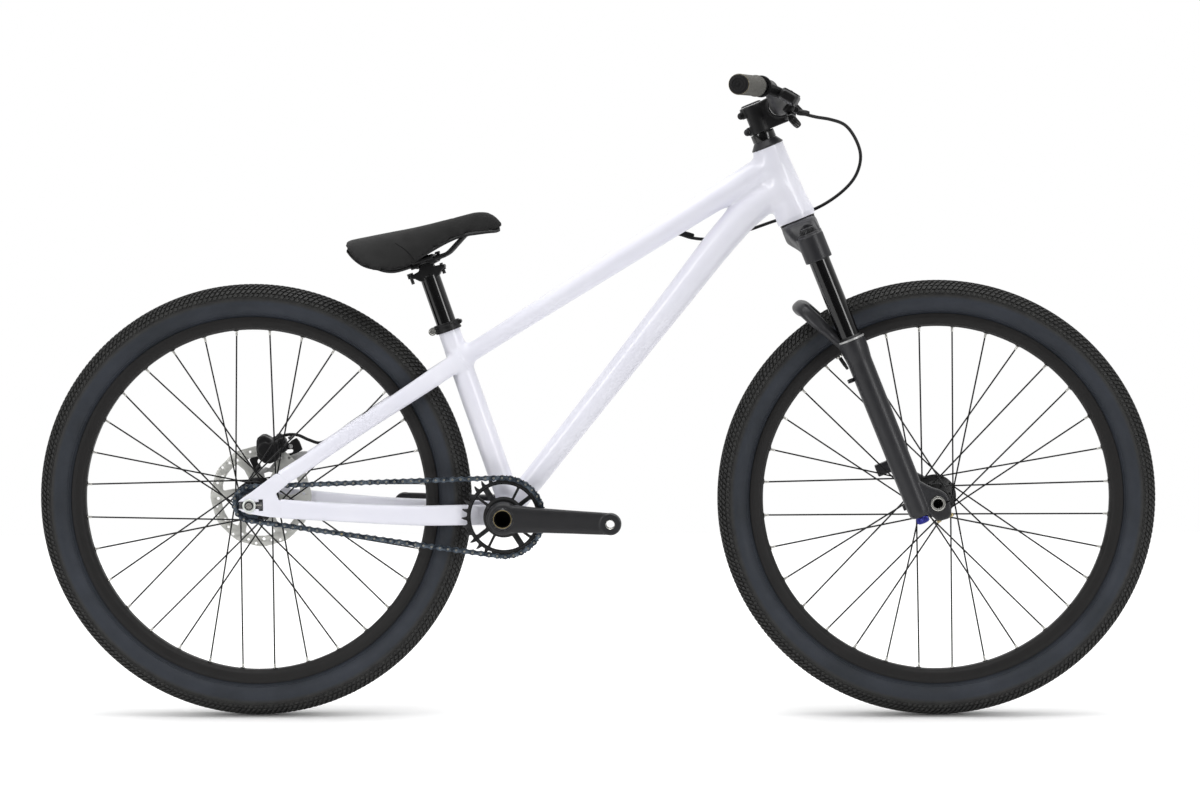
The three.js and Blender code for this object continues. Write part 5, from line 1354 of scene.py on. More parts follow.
def headset_and_stem():
    cone = lathe([(14.6, 0.5), (25, 0.5, 0.6), (25, 2.2, 1.5), (18.4, 11.0, 1), (18.4, 11.4, 0.2),
                  (14.6, 11.4, 0.2)], 96, 0.4)
    spacer = hoop(14.6, 18.4, 11.7, 24.2, 0.4, 96, 2)
    piece("headset_cap", along(cone), FORK_PAINT, "steering", ["headset_cover"], slot="anodised_black")
    piece("headset_spacer", along(spacer), GLOSS_BLACK, "steering", slot="anodised_black")
    side = rounded([(-15, 24.8, 2), (44, 24.8, 4), (50, 30, 5), (56, 36, 6), (59.5, 46, 8), (58.5, 61, 8),
                    (49, 70.8, 7), (30, 70.8, 8), (12, 68.9, 6), (-15, 68.9, 2)], 3)
    body = [plate(side, -15.6, 15.6, bevel=2.5, steps=3), upright(rod(19.3, 24.9, 68.8, 1.2, 96)),
            shifted(rod(19.6, -26, 26, 1.5, 96), *STEM_CLAMP)]
    boss_at = (59, 32.2)
    for z in boss_at:
        body.append(shifted(rod(5.5, -14.6, 14.6, 0.8, 32), -20.5, 0, z))
    face_bolts = [(y, z) for y in (-20, 20) for z in (69.6, 33.4)]
    for y, z in face_bolts:
        body.append(shifted(placed(rod(5.2, -9, 9, 0.8, 24), LENGTHWAYS), 49, y, z))
    stem = fused(body, 0.8, 4, 1.4)
    stem = carved(stem, upright(rod(14.6, 0, 68.4, 0, 64)), upright(rod(16.2, 67.8, 90, 0, 64)),
                  shifted(rod(16.2, -40, 40, 0, 96), *STEM_CLAMP),
                  block((-40, -14), (-0.9, 0.9), (20, 80), 0.1),
                  block((-40, -11.5), (-40, 40), (38.6, 52.6), 0.1),
                  block((50.4, 51.6), (-40, 40), (20, 90), 0.1))
    piece("stem_forging", placed(stem, STEERING), ANODISED, "steering", ["stem"], sharp=40)
    bolts = []
    for z in boss_at:
        bolts.append(shifted(mirrored(socket_bolt(3.7, 1.6)), -20.5, -14.4, z))
        bolts.append(shifted(socket_bolt(3.7, 1.6), -20.5, 14.4, z))
    for y, z in face_bolts:
        bolts.append(aimed(socket_bolt(3.4, 1.2), (57.8, y, z), (1, 0, 0)))
    piece("stem_bolts", placed(merged(*bolts), STEERING), BOLT_BLACK, "steering", sharp=25)
    cap = lathe(rounded([(0, 71), (3.4, 71), (3.8, 71.9), (13, 71.9, 1), (16, 70.8, 0.8), (16, 69.3),
                         (0, 69.3)], 0.3, 2, closed=False)[::-1], 64)
    piece("top_cap", along(cap), ANODISED, "steering", ["stem_top_cap"])
    piece("top_cap_bolt", along(socket_bolt(3.2, 0.9), z=70.9), BOLT_BLACK, "steering", sharp=25)


BAR_CLAMP = (288.1, 940.9)
BAR_END = 380
BEND_START = 50
BEND_END = 145
RISE = 27
BACKSWEEP = 60.5 / (BAR_END - BEND_START)
UPSWEEP = 4 / (BAR_END - BEND_END)


def smoothstep(value, low, high):
    s = min(1.0, max(0.0, (value - low) / (high - low)))
    return s * s * (3 - 2 * s)


def bar_point(y):
    """The middle of the bar at a place across the bicycle."""
    reach = abs(y)
    back = BACKSWEEP * max(0, reach - BEND_START)
    up = RISE * smoothstep(reach, BEND_START, BEND_END) + UPSWEEP * max(0, reach - BEND_END)
    return BAR_CLAMP[0] - back, y, BAR_CLAMP[1] + up


def handlebar():
    places = [*range(BEND_START, BEND_END + 1, 8), *range(160, BAR_END, 20), BAR_END]
    radii = np.interp(places, [50, 72, 98], [15.9, 12.6, 11.1])
    half = [(*bar_point(-y), r, r) for y, r in zip(places[::-1], radii[::-1])]
    bar = sweep(both_sides(half + [(*bar_point(0), 15.9, 15.9)]), 3, 40, 2, across=(0, 0, 1))
    piece("bar_tube", bar, ANODISED, "steering", ["handlebar"])


def grips():
    """Slim rubber grips: an inner flange, fine raised rings, a thin brass band and a stepped plug."""
    profile = [(11.15, -133), (15.8, -133), (15.9, -132.4), (15.8, -130.2), (15.1, -129.6)]
    for k in range(70):
        low = -127 + k * 1.74
        profile += [(14.72, low), (14.72, low + 0.45), (14.95, low + 0.65), (14.95, low + 1.5)]
    profile += [(15.1, -4.4), (15.1, -2.2), (14.4, -1.6), (11.15, -1.6)]
    sleeve = lathe(profile, 96)
    plug = lathe([(0, 3.2), (1.6, 3.2), (1.9, 2.0), (5.4, 2.1), (5.7, 2.6), (6.1, 2.1), (9.6, 2.1),
                  (9.9, 2.6), (10.3, 2.1), (13.2, 2.0, 0.6), (14.3, 0.8, 0.6), (14.3, -0.8), (10.6, -0.8),
                  (10.2, -20), (0, -20)][::-1], 96, 0.12, 2)
    band = hoop(13.2, 14.75, -1.6, -0.8, 0.15, 96)
    slope = np.array((-BACKSWEEP, 1, UPSWEEP))
    for side, sign in (("right", -1), ("left", 1)):
        at, way = bar_point(sign * BAR_END), slope * (1, sign, 1)
        for name, shape, material, stands in (
                ("_grip_sleeve", sleeve, GRIP_RUBBER, [side + "_grip"]),
                ("_bar_plug", plug, PLUG_RUBBER, []), ("_plug_band", band, GOLD, [])):
            piece(side + name, aimed(shape, at, way), material, "steering", stands, sharp=38)


# Rear brake
def brake_lever():
    lx, _, lz = bar_point(-206)
    clamp = shifted(lathe([(0, -212.2), (16.2, -212.2), (16.2, -199.8), (0, -199.8)], 64, 1.2), lx, 0, lz)
    neck = sweep([(lx + 12, -206, lz - 4, 5.5, 9), (lx + 30, -202, 957.5, 5.5, 8), (302, -198, 949, 5.5, 7)],
                 6, 24, 3)
    tank = sweep([(305, -160, 949.5, 6.6, 11), (303, -168, 950.8, 8.4, 14), (302, -190, 951.5, 8.8, 14.6),
                  (300.5, -220, 952.8, 8.8, 14.6), (299.4, -240, 953.5, 8.2, 13.4),
                  (299, -245, 953.8, 6.6, 11)], 6, 40, 6, across=(0.5, 0, 0.87), round_ends=2.5)
    inlet = aimed(rod(5.6, -10, 15, 1, 32), (308.5, -168, 940), (0.6, 0.2, -0.64))
    stub = shifted(lathe([(0, -179), (4.7, -179), (4.7, -172), (5.6, -171), (5.6, -165), (4.5, -163),
                          (4.5, -159.6), (0, -159.6)], 32, 0.5, 2), 311, 0, 934)
    pivot = aimed(rod(7.2, -9.6, 5, 1, 32), (301.5, -187, 937), (0.64, 0, 0.77))
    body = fused([clamp, neck, tank, inlet, stub, pivot], 0.7, 5, 1.2)
    body = carved(body, shifted(rod(11.45, -230, -180, 0, 64), lx, 0, lz),
                  aimed(block((-12, 12), (-7.5, 0.6), (-5.8, 5.8), 0.3), (301, -187, 929), (0.64, 0, 0.77)))
    piece("lever_body_casting", body, ANODISED, "steering", ["brake_lever_body"], sharp=40)
    lid = sweep([(307, -170, 958.6, 11, 1.0), (306.4, -190, 959.5, 12.6, 1.0), (305, -220, 960.6, 12.6, 1.0),
                 (304, -238, 960.8, 11, 1.0)], 6, 24, 4, across=(0.87, 0, -0.5), round_ends=0.8)
    piece("reservoir_lid", lid, ANODISED, "steering", sharp=40)
    bolts = [aimed(socket_bolt(2.6, 1.4), (lx - 10, -206, lz + 12), (-0.62, 0, 0.78)),
             aimed(socket_bolt(2.0, 0.6), (306.9, -174, 960), (0.5, 0, 0.87)),
             aimed(socket_bolt(2.0, 0.6), (304.4, -234, 961.8), (0.5, 0, 0.87))]
    piece("lever_body_bolts", merged(*bolts), BOLT_BLACK, "steering", sharp=25)
    paddle = [(302, -184, 929, 4, 5), (304.4, -204, 925.6, 4.4, 4.9), (306, -230, 922.4, 5.4, 4.6),
              (306.6, -262, 920, 8.4, 5), (306.6, -288, 918.8, 11, 5.6), (306.8, -299, 918.6, 11.6, 5.8)]
    shapes = [sweep(paddle, 8, 40, 3.4, across=(0.68, 0, -0.73), round_ends=2.2),
              aimed(rod(5.2, -4.4, 4.4, 0.8, 32), (301, -186, 929), (0.64, 0, 0.77))]
    for low in (-3.2, 0, 3.2):
        at = np.array((306.8 + 0.73 * low, 917.8 + 0.68 * low))
        shapes.append(sweep([(at[0] - 6, -300.6, at[1] + 6.4, 0.9, 0.9), (at[0], -301.4, at[1], 1.0, 1.0),
                             (at[0] + 6, -300.6, at[1] - 6.4, 0.9, 0.9)], 4, 12, 2))
    blade = fused(shapes, 0.5, 2, 1.0)
    piece("lever_blade_forging", blade, GLOSS_BLACK, "brake_lever", ["brake_lever_blade"], sharp=40,
          slot="anodised_black")


HOSE_ROUTE = [(319, -172, 929), (340, -166, 923.5), (362, -152, 919.5), (384, -132, 911), (401, -105, 889),
              (409, -78, 863), (402, -42, 832.5), (380, -6, 806), (343, 31, 781.5), (313, 42, 772),
              (281, 44, 762.8), (240, 44, 749), (204, 42, 740), (176, 37.5, 735.5), (152, 30, 738),
              (130, 24, 744.5), (112, 21.5, 743), (60, 20.4, 711.5), (0, 19.6, 674.8), (-60, 19, 637.9),
              (-120, 18.6, 601), (-170, 21, 569), (-205, 27, 548), (-228, 36, 541), (-250, 45, 537),
              (-280, 53.5, 518), (-330, 62.5, 485.5), (-380, 71, 452.5), (-412, 76, 430), (-434, 77, 418),
              (-452, 72.5, 423.5), (-467, 67, 431), (-480, 64.5, 432.5), (-491.4, 63, 430.6)]


def brake_hose():
    """The hose, which runs between the frame and the bar, and its clips."""
    hose = new_object("hose_run", wire(HOSE_ROUTE, 2.5, 16, 8))
    hose.data.materials.append(HOSE_RUBBER)
    hose.data.shade_smooth()
    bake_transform(hose)
    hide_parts("brake_hose")
    sleeve = aimed(lathe([(2.55, -4), (4.3, -4), (4.6, 2), (4.3, 9), (3.2, 14), (2.55, 14)], 32, 0.4),
                   (317, -171.6, 930.2), (0.9, 0.22, -0.1))
    piece("hose_lever_sleeve", sleeve, HOSE_RUBBER, "steering")
    guide = sweep([(154, 30, 741.5, 4.2, 3.2), (146, 27.6, 743.6, 4.6, 3.6), (130, 24, 747.2, 4.8, 4.2),
                   (122, 22.6, 747.6, 4.2, 3.6)], 6, 24, 2.6, round_ends=1.5)
    piece("hose_entry_guide", guide, RECESS_RUBBER, "frame")


CALLIPER = (-515.45, 411.8)


def calliper():
    """A two-piston calliper with its bracket and lower arm, on a plate bolted to the left stay."""
    cx, cz = CALLIPER
    hump = rounded([(-530.2, 414), (-529.8, 424), (-528, 429.4), (-523, 433.2), (-517, 433.4), (-510.5, 430),
                    (-503.6, 425.2), (-496, 424.4), (-493.4, 414), (-493.6, 400), (-498.8, 392.6),
                    (-508.5, 388.7), (-518.2, 389.7), (-525.9, 395.6), (-529.2, 401.4)], 3)
    neck = rounded([(-500, 424.8), (-494.3, 428.2), (-487.5, 429), (-484.6, 425.5), (-482.6, 416.7),
                    (-483.5, 408), (-488.8, 405), (-500, 402)], 2.5)
    bracket = rounded([(-487, 420), (-480.9, 419), (-476.9, 423.5), (-469.1, 427.6), (-464.4, 421.5),
                       (-459.7, 408.9), (-465.6, 405.1), (-469.5, 402.2), (-474.4, 396.4), (-483.1, 398.3),
                       (-483.6, 402.7), (-476.3, 404.1), (-474.3, 407), (-474.9, 409.6), (-487, 409)], 1.4)
    arm = rounded([(-524, 400), (-534.6, 398), (-541.4, 396.6), (-544, 393.4), (-534.6, 373.6),
                   (-527.6, 373.2), (-522.8, 380.6), (-528, 384), (-531.6, 389.8), (-530, 394), (-524, 396)],
                  1.6)
    rib = sweep([(-528, 40, 412.5, 1.6, 1.2), (-518, 38.8, 416.6, 1.8, 1.4),
                 (-510, 38.8, 418, 1.8, 1.4), (-504, 40, 424, 1.6, 1.2)], 4, 12, 2)
    shapes = [plate(hump, 39.4, 71.2, bevel=4, steps=4), plate(neck, 49, 67, bevel=2.5, steps=3),
              plate(bracket, 58.4, 65.4, bevel=1.2, steps=2), plate(arm, 58.4, 65.4, bevel=1.2, steps=2),
              aimed(rod(4.2, -2, 14, 0.6, 32), (-507, 62, 424), (16.4, 0.8, 6.6)),
              shifted(rod(11, 36.6, 41, 1.6, 48), cx - 0.5, 0, cz),
              shifted(rod(11, 70, 73.4, 1.6, 48), cx, 0, cz), rib]
    casting = fused(shapes, 0.75, 3, 1.4)
    slot = block((cx - 40, cx + 12), (48.9, 59.1), (cz - 60, cz + 11), 0.2)
    window = block((cx - 9, cx + 5), (49.8, 58.2), (cz, cz + 40), 0.6)
    casting = carved(casting, slot, window)
    piece("calliper_casting", casting, ANODISED, "frame", ["brake_calliper"], sharp=38)
    banjo = merged(aimed(rod(5.4, -3, 3.4, 0.7, 32), (-496, 62.7, 429.4), (0, 1, 0)),
                   aimed(socket_bolt(4.2, 2.6), (-496, 65.8, 429.4), (0, 1, 0)))
    piece("banjo_fitting", banjo, BOLT_BLACK, "frame", sharp=30)
    fixing = merged(shifted(mirrored(socket_bolt(3.6, 1.4)), -478.2, 57.6, 414.6),
                    shifted(rod(3, 56, 69, 0.3), -478.2, 0, 414.6))
    piece("bracket_bolt", fixing, ADAPTER_SILVER, "frame", sharp=30)
    bolts = merged(aimed(socket_bolt(4.6, 3.6), (cx - 14, 61.8, cz - 30), (-0.7, 0, 0.7)),
                   aimed(socket_bolt(4.6, 3.6), (cx + 38, 61.8, cz + 15), (-0.35, 0, 0.94)))
    piece("calliper_bolts", bolts, BOLT_BLACK, "frame", sharp=25)
    outline = rounded([(-532, 372.5), (-523, 355), (-508, 352), (-494, 368), (-478, 382), (-462, 398),
                       (-453, 399), (-453, 406.5), (-461, 406.3), (-482, 399.5), (-497, 390), (-505, 389),
                       (-513, 380), (-519.3, 381.4), (-529.3, 375.4)], 2)
    upper = rounded([(-506, 381.5), (-500, 385.5), (-484, 394.4), (-477, 391.5), (-487, 382.6),
                     (-499, 373.6)], 1.5)
    lower = rounded([(-521.5, 372), (-513, 374.5), (-503, 372.5), (-509, 360), (-519.5, 362)], 2)
    adapter = plate(outline, 58.2, 65.2, [upper, lower], bevel=0.8, steps=2)
    rib = sweep([(-522, 57.8, 372, 1.2, 0.8), (-507, 57.8, 383, 1.2, 0.8), (-486, 57.8, 394.5, 1.2, 0.8),
                 (-466, 57.8, 401.5, 1.2, 0.8)], 4, 10, 2)
    piece("adapter_plate", merged(adapter, rib), ADAPTER_SILVER, "frame", ["brake_adapter"], sharp=35)
    for side, low in (("right", 49.3), ("left", 55.5)):
        outline = rounded([(cx - 11, cz - 12), (cx + 11, cz - 12), (cx + 11, cz + 5), (cx + 4, cz + 9),
                           (cx - 4, cz + 9), (cx - 11, cz + 5)], 1.2)
        backing = (low, low + 1.5) if side == "right" else (low + 1.7, low + 3.2)
        lining = (low + 1.5, low + 3.2) if side == "right" else (low, low + 1.7)
        back = plate(outline, *backing, bevel=0.2)
        body_name = side + "_pad"
        piece(side + "_pad_backing", back, BRIGHT, body_name, [side + "_brake_pad"], sharp=30)
        face = plate(rounded(rectangle((cx - 10, cx + 10), (cz - 11, cz + 3)), 2), *lining, bevel=0.15)
        piece(side + "_pad_lining", face, PAD_LINING, body_name, sharp=30)


# Rear axle and chain tensioners
def rear_axle():
    tube = lathe([(0, -80), (5, -80), (5, 80), (0, 80)], 32)
    spacer = hoop(5.1, 8.4, 52.8, 67.3, 0.5, 48)
    washer = lathe([(5.8, 74.7), (10.3, 74.7), (10.3, 76.2, 0.8), (9.4, 77.4, 0.6), (7.6, 77.8, 0.4),
                    (7.1, 76.9, 0.2), (5.8, 76.9, 0.2)], 96, 0.3)
    ring = hoop(5.5, 6.7, 76.6, 78.2, 0.4, 64)
    piece("axle_tube", placed(tube, REAR), BRIGHT, "frame", ["rear_axle"])
    for side, turn in (("left", Matrix.Identity(4)), ("right", MIRROR)):
        screw = shifted(socket_bolt(5.3, 2.4, 2.9, 36), 0, 77, 0)
        for name, shape, material in (
                ("_axle_spacer", spacer, ANODISED), ("_axle_washer", washer, WASHER_STEEL),
                ("_axle_ring", ring, BOLT_BLACK), ("_axle_screw", screw, BOLT_BLACK)):
            piece(side + name, placed(placed(shape, turn), REAR), material, "frame", sharp=28)


def tensioners():
    """In each dropout a block that pulls on the axle, with its screw, and a key below the slot."""
    for side, mirror in (("right", Matrix.Identity(4)), ("left", MIRROR)):
        slabs = []
        for x, y, z, ease in (((-510.2, -504.9), (-74.1, -67.9), (329.2, 345.8), 0.6),
                              ((-516, -509.6), (-73.6, -68.2), (333.6, 340.8), 0.6),
                              ((-541, -531), (-73.4, -68.4), (332.2, 341.6), 0.8)):
            slabs.append(plate(rounded(rectangle(x, z), ease), *y, bevel=0.4))
        bar = merged(*slabs)
        crests = [(2.1 if k % 2 else 1.85, 506 + 0.4 * k) for k in range(34)]
        thread = lathe([*crests, (0.5, 519.5), (0.5, 506)], 20)
        screw = shifted(placed(thread, LENGTHWAYS), 0, -72.4, 337.2)
        piece(side + "_tensioner_bar", placed(bar, mirror), BOLT_BLACK, "frame",
              [side + "_chain_tensioner"])
        piece(side + "_tensioner_thread", placed(screw, mirror), PIN_STEEL, "frame", sharp=20,
              slot="bright_steel")
        stop = plate(rounded([(-505.6, 321.4), (-494.2, 320.4), (-497.6, 314.7), (-504.2, 314.7)], 0.8),
                     -73.4, -68, bevel=0.6)
        piece(side + "_dropout_stop", placed(stop, mirror), BOLT_BLACK, "frame", sharp=25)


# Seat, in the post's own frame
def in_seat(shape):
    return placed(shape, SEAT)


SEAT_BOSS = (-24, 0, 7.4)


def seat_clamp():
    ring = lathe([(17.35, 0.3), (20.4, 0.3, 0.8), (20.4, 3.2, 1), (19.6, 4.4, 1), (19.6, 9.6, 1),
                  (20.4, 10.8, 1), (20.4, 14.2, 0.8), (15.8, 14.2, 0.3), (15.8, 11.9, 0.2),
                  (17.35, 11.9, 0.2)], 96, 0.3)
    clamp = fused([upright(ring), shifted(rod(6.0, -9, 9, 0.8, 40), *SEAT_BOSS),
                   block((-25, -18.6), (-9, 9), (2.6, 12.2), 0.8),
                   shifted(rod(3.6, -8, 8, 0.6, 32), 20.4, 0, 9)], 0.45, 4, 0.9)
    clamp = carved(clamp, block((-40, -14), (-0.8, 0.8), (-5, 30), 0.1), upright(rod(15.75, -10, 30, 0, 96)),
                   upright(rod(17.3, -10, 11.8, 0, 96)))
    piece("seat_collar", in_seat(clamp), ANODISED, "frame", ["seat_clamp"], sharp=40)
    head = shifted(mirrored(socket_bolt(4.6, 1.8)), 0, -8.8)
    bolt = merged(shifted(head, *SEAT_BOSS), shifted(hoop(4.8, 5.9, -9.5, -8.8, 0.2, 40), *SEAT_BOSS),
                  shifted(rod(4.4, 8.8, 10.2, 0.4, 32), *SEAT_BOSS))
    piece("seat_collar_bolt", in_seat(bolt), BRIGHT, "frame", sharp=25)


def seatpost():
    tube = upright(lathe([(13.25, -150), (15.45, -150), (15.45, 84), (15.2, 90), (13.25, 90)], 96))
    piece("post_tube", in_seat(tube), GLOSS_BLACK, "seat_post", ["seatpost"])
    arc = [(x, 100 + z) for x, z in (polar(12.4, a) for a in range(8, 173, 10))]
    front = rounded([(16, 87), (22, 93), (28, 95), (28, 99.5), (16, 101.5)], 1.5, 3, closed=False)
    back = rounded([(-16, 101.5), (-28, 99.5), (-28, 95), (-22, 93), (-16, 87)], 1.5, 3, closed=False)
    head = plate([(-12, 85), (12, 85), *front, *arc, *back], -13, 13, bevel=1.2, steps=3)
    neck = upright(lathe([(0, 70), (15.2, 70), (15.3, 84), (14, 92), (0, 92)], 64))
    crown = fused([head, neck], 0.6, 3, 1.0)
    crown = carved(crown, upright(rod(13.2, 40, 82, 0, 48)))
    piece("post_head", in_seat(crown), ANODISED, "seat_post", sharp=40)
    bolts = []
    for x, z in ((-28, 99.4), (23, 96)):
        bolts.append(shifted(upright(rod(2.6, 86, 103.2, 0.3, 24)), x, 0, 0))
        knurl = plate([polar(4.8 if k % 2 else 4.45, 360 * k / 48) for k in range(48)], -4, 4, bevel=0.4)
        bolts.append(shifted(upright(knurl), x, 0, z))
    piece("post_head_bolts", in_seat(merged(*bolts)), BOLT_BLACK, "seat_post", sharp=25)


def rail_clamp():
    """Two halves that hold the rails, on the round top of the post."""
    tilt = Matrix.Translation((-258.4, 0, 705.5)) @ Matrix.Rotation(math.radians(-16.8), 4, "Y")
    lower = block((-21, 21), (-26.5, 26.5), (-6.6, -0.4), 1.6)
    upper = block((-17, 17), (-27.5, 27.5), (0.4, 6.6), 1.8)
    ears = [shifted(rod(5.2, -5, 5, 0.8, 32), x, 0, 0.5) for x in (-23, 23)]
    grooves = [shifted(placed(rod(3.75, -60, 60, 0, 32), LENGTHWAYS), 0, y) for y in (-22, 22)]
    halves = placed(fused([lower, upper, block((-14, 14), (-15, 15), (-8, 8), 1), *ears],
                          0.55, 4, 1.0), tilt)
    pivot = placed(rod(13.0, -60, 60, 0, 64), SEAT @ Matrix.Translation((0, 0, 100)))
    halves = carved(halves, *[placed(g, tilt) for g in grooves], pivot)
    piece("rail_clamp_halves", halves, ANODISED, "saddle", ["rail_clamp"], sharp=40)
    heads = merged(*[shifted(upright(socket_bolt(4.2, 3.0)), x, 0, 6) for x in (-23, 23)])
    piece("rail_clamp_bolts", placed(heads, tilt), BOLT_BLACK, "saddle", sharp=25)


def saddle_rails():
    half = [(-353, 33, 708), (-338, 30, 702), (-320, 25, 694), (-302, 22, 692.5), (-268, 22, 702.6),
            (-235, 22, 712.6), (-222, 21, 718), (-207, 17.5, 733), (-196, 13, 744.5), (-188, 7, 750)]
    line = half + [(x, -y, z) for x, y, z in half[::-1]]
    piece("rail_wire", wire(line, 3.5, 20, 6), RAIL_BLACK, "saddle", ["saddle_rails"])


# Rows along the saddle: x, the height of its top, the height of its edge and its half width
SADDLE = [(-380, 737.5, 733, 22), (-377, 739.4, 729, 37), (-368, 741.4, 718, 52), (-352, 744.2, 703.5, 62.5),
          (-330, 748.3, 694.5, 66.5), (-305, 753, 692.5, 63), (-280, 757.6, 698.5, 52),
          (-253, 763.8, 716, 39), (-225, 771, 732.5, 28), (-199, 777.6, 743.8, 22.5),
          (-175, 782.6, 747.6, 20.5), (-156, 780.6, 750.4, 18), (-144, 772.8, 752.6, 13.5),
          (-137, 765, 756.6, 7)]
SADDLE_CREST = 2.8
RIM_THICKNESS = 4.5
PAD_INSET = 1.6
PAD_CAP = 2.6
SEAM = [(-299, 735.6), (-290, 730.2), (-283.8, 726), (-275, 716.7), (-269.3, 709.6)]


def smoothed(table, places):
    """A table of rows [place, values] read at places between its rows, without corners."""
    t = np.asarray(table, float)
    x, v = t[:, 0], t[:, 1:]
    slope = np.gradient(v, x, axis=0)
    i = np.clip(np.searchsorted(x, places) - 1, 0, len(x) - 2)
    h = (x[i + 1] - x[i])[:, None]
    s = ((places - x[i]) / h[:, 0])[:, None]
    return ((2 * s ** 3 - 3 * s ** 2 + 1) * v[i] + (s ** 3 - 2 * s ** 2 + s) * h * slope[i]
            + (3 * s ** 2 - 2 * s ** 3) * v[i + 1] + (s ** 3 - s ** 2) * h * slope[i + 1])


def saddle_height(y, top, edge, half):
    """The top of the padding, down to the upper corner of its rim."""
    corner = edge + np.minimum(RIM_THICKNESS, 0.3 * (top - edge))
    return top - (top - corner) * np.minimum(1, np.abs(y) / half) ** SADDLE_CREST


def saddle_underside(y, top, edge, half):
    """The underside of the padding: it arches from the rim up to the middle."""
    middle = np.maximum(top - 17, edge + 0.3 * (top - edge))
    return edge + (middle - edge) * (1 - np.minimum(1, np.abs(y) / half) ** 1.6)


def saddle_cover_shape(inset):
    places = np.concatenate([np.linspace(-380, -352, 12), np.linspace(-349, -160, 60),
                            np.linspace(-157, -136.5, 12)])
    rings = []
    over, under = np.linspace(-1, 1, 49), np.linspace(1, -1, 33)
    for x, (top, edge, half) in zip(places, smoothed(SADDLE, places)):
        half = half - inset
        x = np.interp(x, [-380, -300, -200, -136.5], [-380 + inset, -300, -200, -136.5 - inset])
        y = half * np.sin(over * math.pi / 2)
        upper = np.stack([np.full_like(y, x), y, saddle_height(y, top - inset, edge, half)], 1)
        y = half * np.sin(under * math.pi / 2) * 0.99
        lower = np.stack([np.full_like(y, x), y, saddle_underside(y, top, edge, half)], 1)
        rings.append(np.vstack([upper, lower]))
    return loft(rings)


def swollen(shape, voxel, cap, held):
    """A shape filled with padding, as simulated cloth. Held points stay, and none moves further than cap."""
    base = new_object("pad_base", shape)
    remeshed(base, voxel * MM)
    start, faces = result_of(base)
    pad = new_object("pad", (start, faces), 1)
    pins = pad.vertex_groups.new(name="held")
    pins.add([int(i) for i in np.flatnonzero(held(start / MM))], 1.0, "REPLACE")
    cloth = pad.modifiers.new("cloth", "CLOTH")
    cloth.settings.use_pressure = True
    cloth.settings.uniform_pressure_force = 4
    cloth.settings.effector_weights.gravity = 0
    cloth.settings.tension_stiffness = 2
    cloth.settings.compression_stiffness = 2
    cloth.settings.shear_stiffness = 1
    cloth.settings.vertex_group_mass = "held"
    for number in range(1, 21):
        bpy.context.scene.frame_set(number)
    ended, faces = result_of(pad)
    bpy.context.scene.frame_set(1)
    move = (ended - start) / MM
    length = np.linalg.norm(move, axis=1)[:, None]
    points = start / MM + move * np.minimum(1, cap / np.maximum(length, 1e-9))
    smooth = new_object("pad_smooth", (points, faces), 1)
    smooth.modifiers.new("rounding", "SUBSURF").levels = 1
    return result_of(smooth)


def on_shell(points):
    """Which points of the padding lie on the shell."""
    top, edge, half = smoothed(SADDLE, np.clip(points[:, 0], -379, -138)).T
    return points[:, 2] < saddle_underside(points[:, 1], top, edge, half) + 1.5


def saddle_cover():
    shape = swollen(saddle_cover_shape(PAD_INSET), 4.0, PAD_CAP, on_shell)
    cover = piece("saddle_pad", shape, SADDLE_FABRIC, "saddle", ["saddle_cover"])
    return shape


def saddle_seams(cover):
    """A curved seam on each flank behind the middle, laid on the cover."""
    points, faces = cover
    tree = BVHTree.FromPolygons([Vector(p) for p in points], faces)
    wires = []
    for side in (-1, 1):
        line = []
        for x, z in curve_through([(x, 0, z) for x, z in SEAM], 4)[0][:, ::2]:
            hit = tree.ray_cast(Vector((x, side * 120, z)), Vector((0, -side, 0)))[0]
            if hit is not None:
                line.append(tuple(hit + Vector((0, side * 0.05, 0))))
        wires.append(wire(line, 0.7, 10, 2))
    piece("saddle_seam", merged(*wires), SEAM_THREAD, "saddle")


def saddle_shell():
    places = np.linspace(-374, -142, 60)
    rings = []
    over = np.linspace(-1, 1, 33)
    for x, (top, edge, half) in zip(places, smoothed(SADDLE, places)):
        sides = []
        for low, reach, order in ((0.7, 0.9, over), (3.2, 0.92, over[::-1])):
            y = half * reach * np.sin(order * math.pi / 2)
            sides.append(np.stack([np.full_like(y, x), y, saddle_underside(y, top, edge, half) - low], 1))
        rings.append(np.vstack(sides))
    piece("saddle_base_shell", loft(rings), SADDLE_SHELL, "saddle", ["saddle_base"])


def bearings():
    """The bearings sit inside the head tube; their solids stay and take a metal finish."""
    for name in ("headset_upper_bearing", "headset_lower_bearing"):
        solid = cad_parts[name]
        solid.data.materials.clear()
        solid.data.materials.append(BRIGHT)


# The camera, the floor and the light
# The floor's glow for the camera, and how sharply it fades where things are close, which paints a contact
# shadow.
FLOOR_FILL = 0.3
PAINTED_SHADOW_FADE = 2.2
SURROUND_MIDDLE = 0.46
SURROUND_LEAST = 0.06
SURROUND_SLOPE = (0, 0.34, 0.3)
CAMERA_PLACE = (249.05, -5299.0, 957.0)
CAMERA_TURN = (-2.582, -4.971, -0.482)
FOCAL_LENGTH_IN_PIXELS = 3455.27
PHOTO_WIDTH_IN_PIXELS = 1200
SENSOR_WIDTH = 36


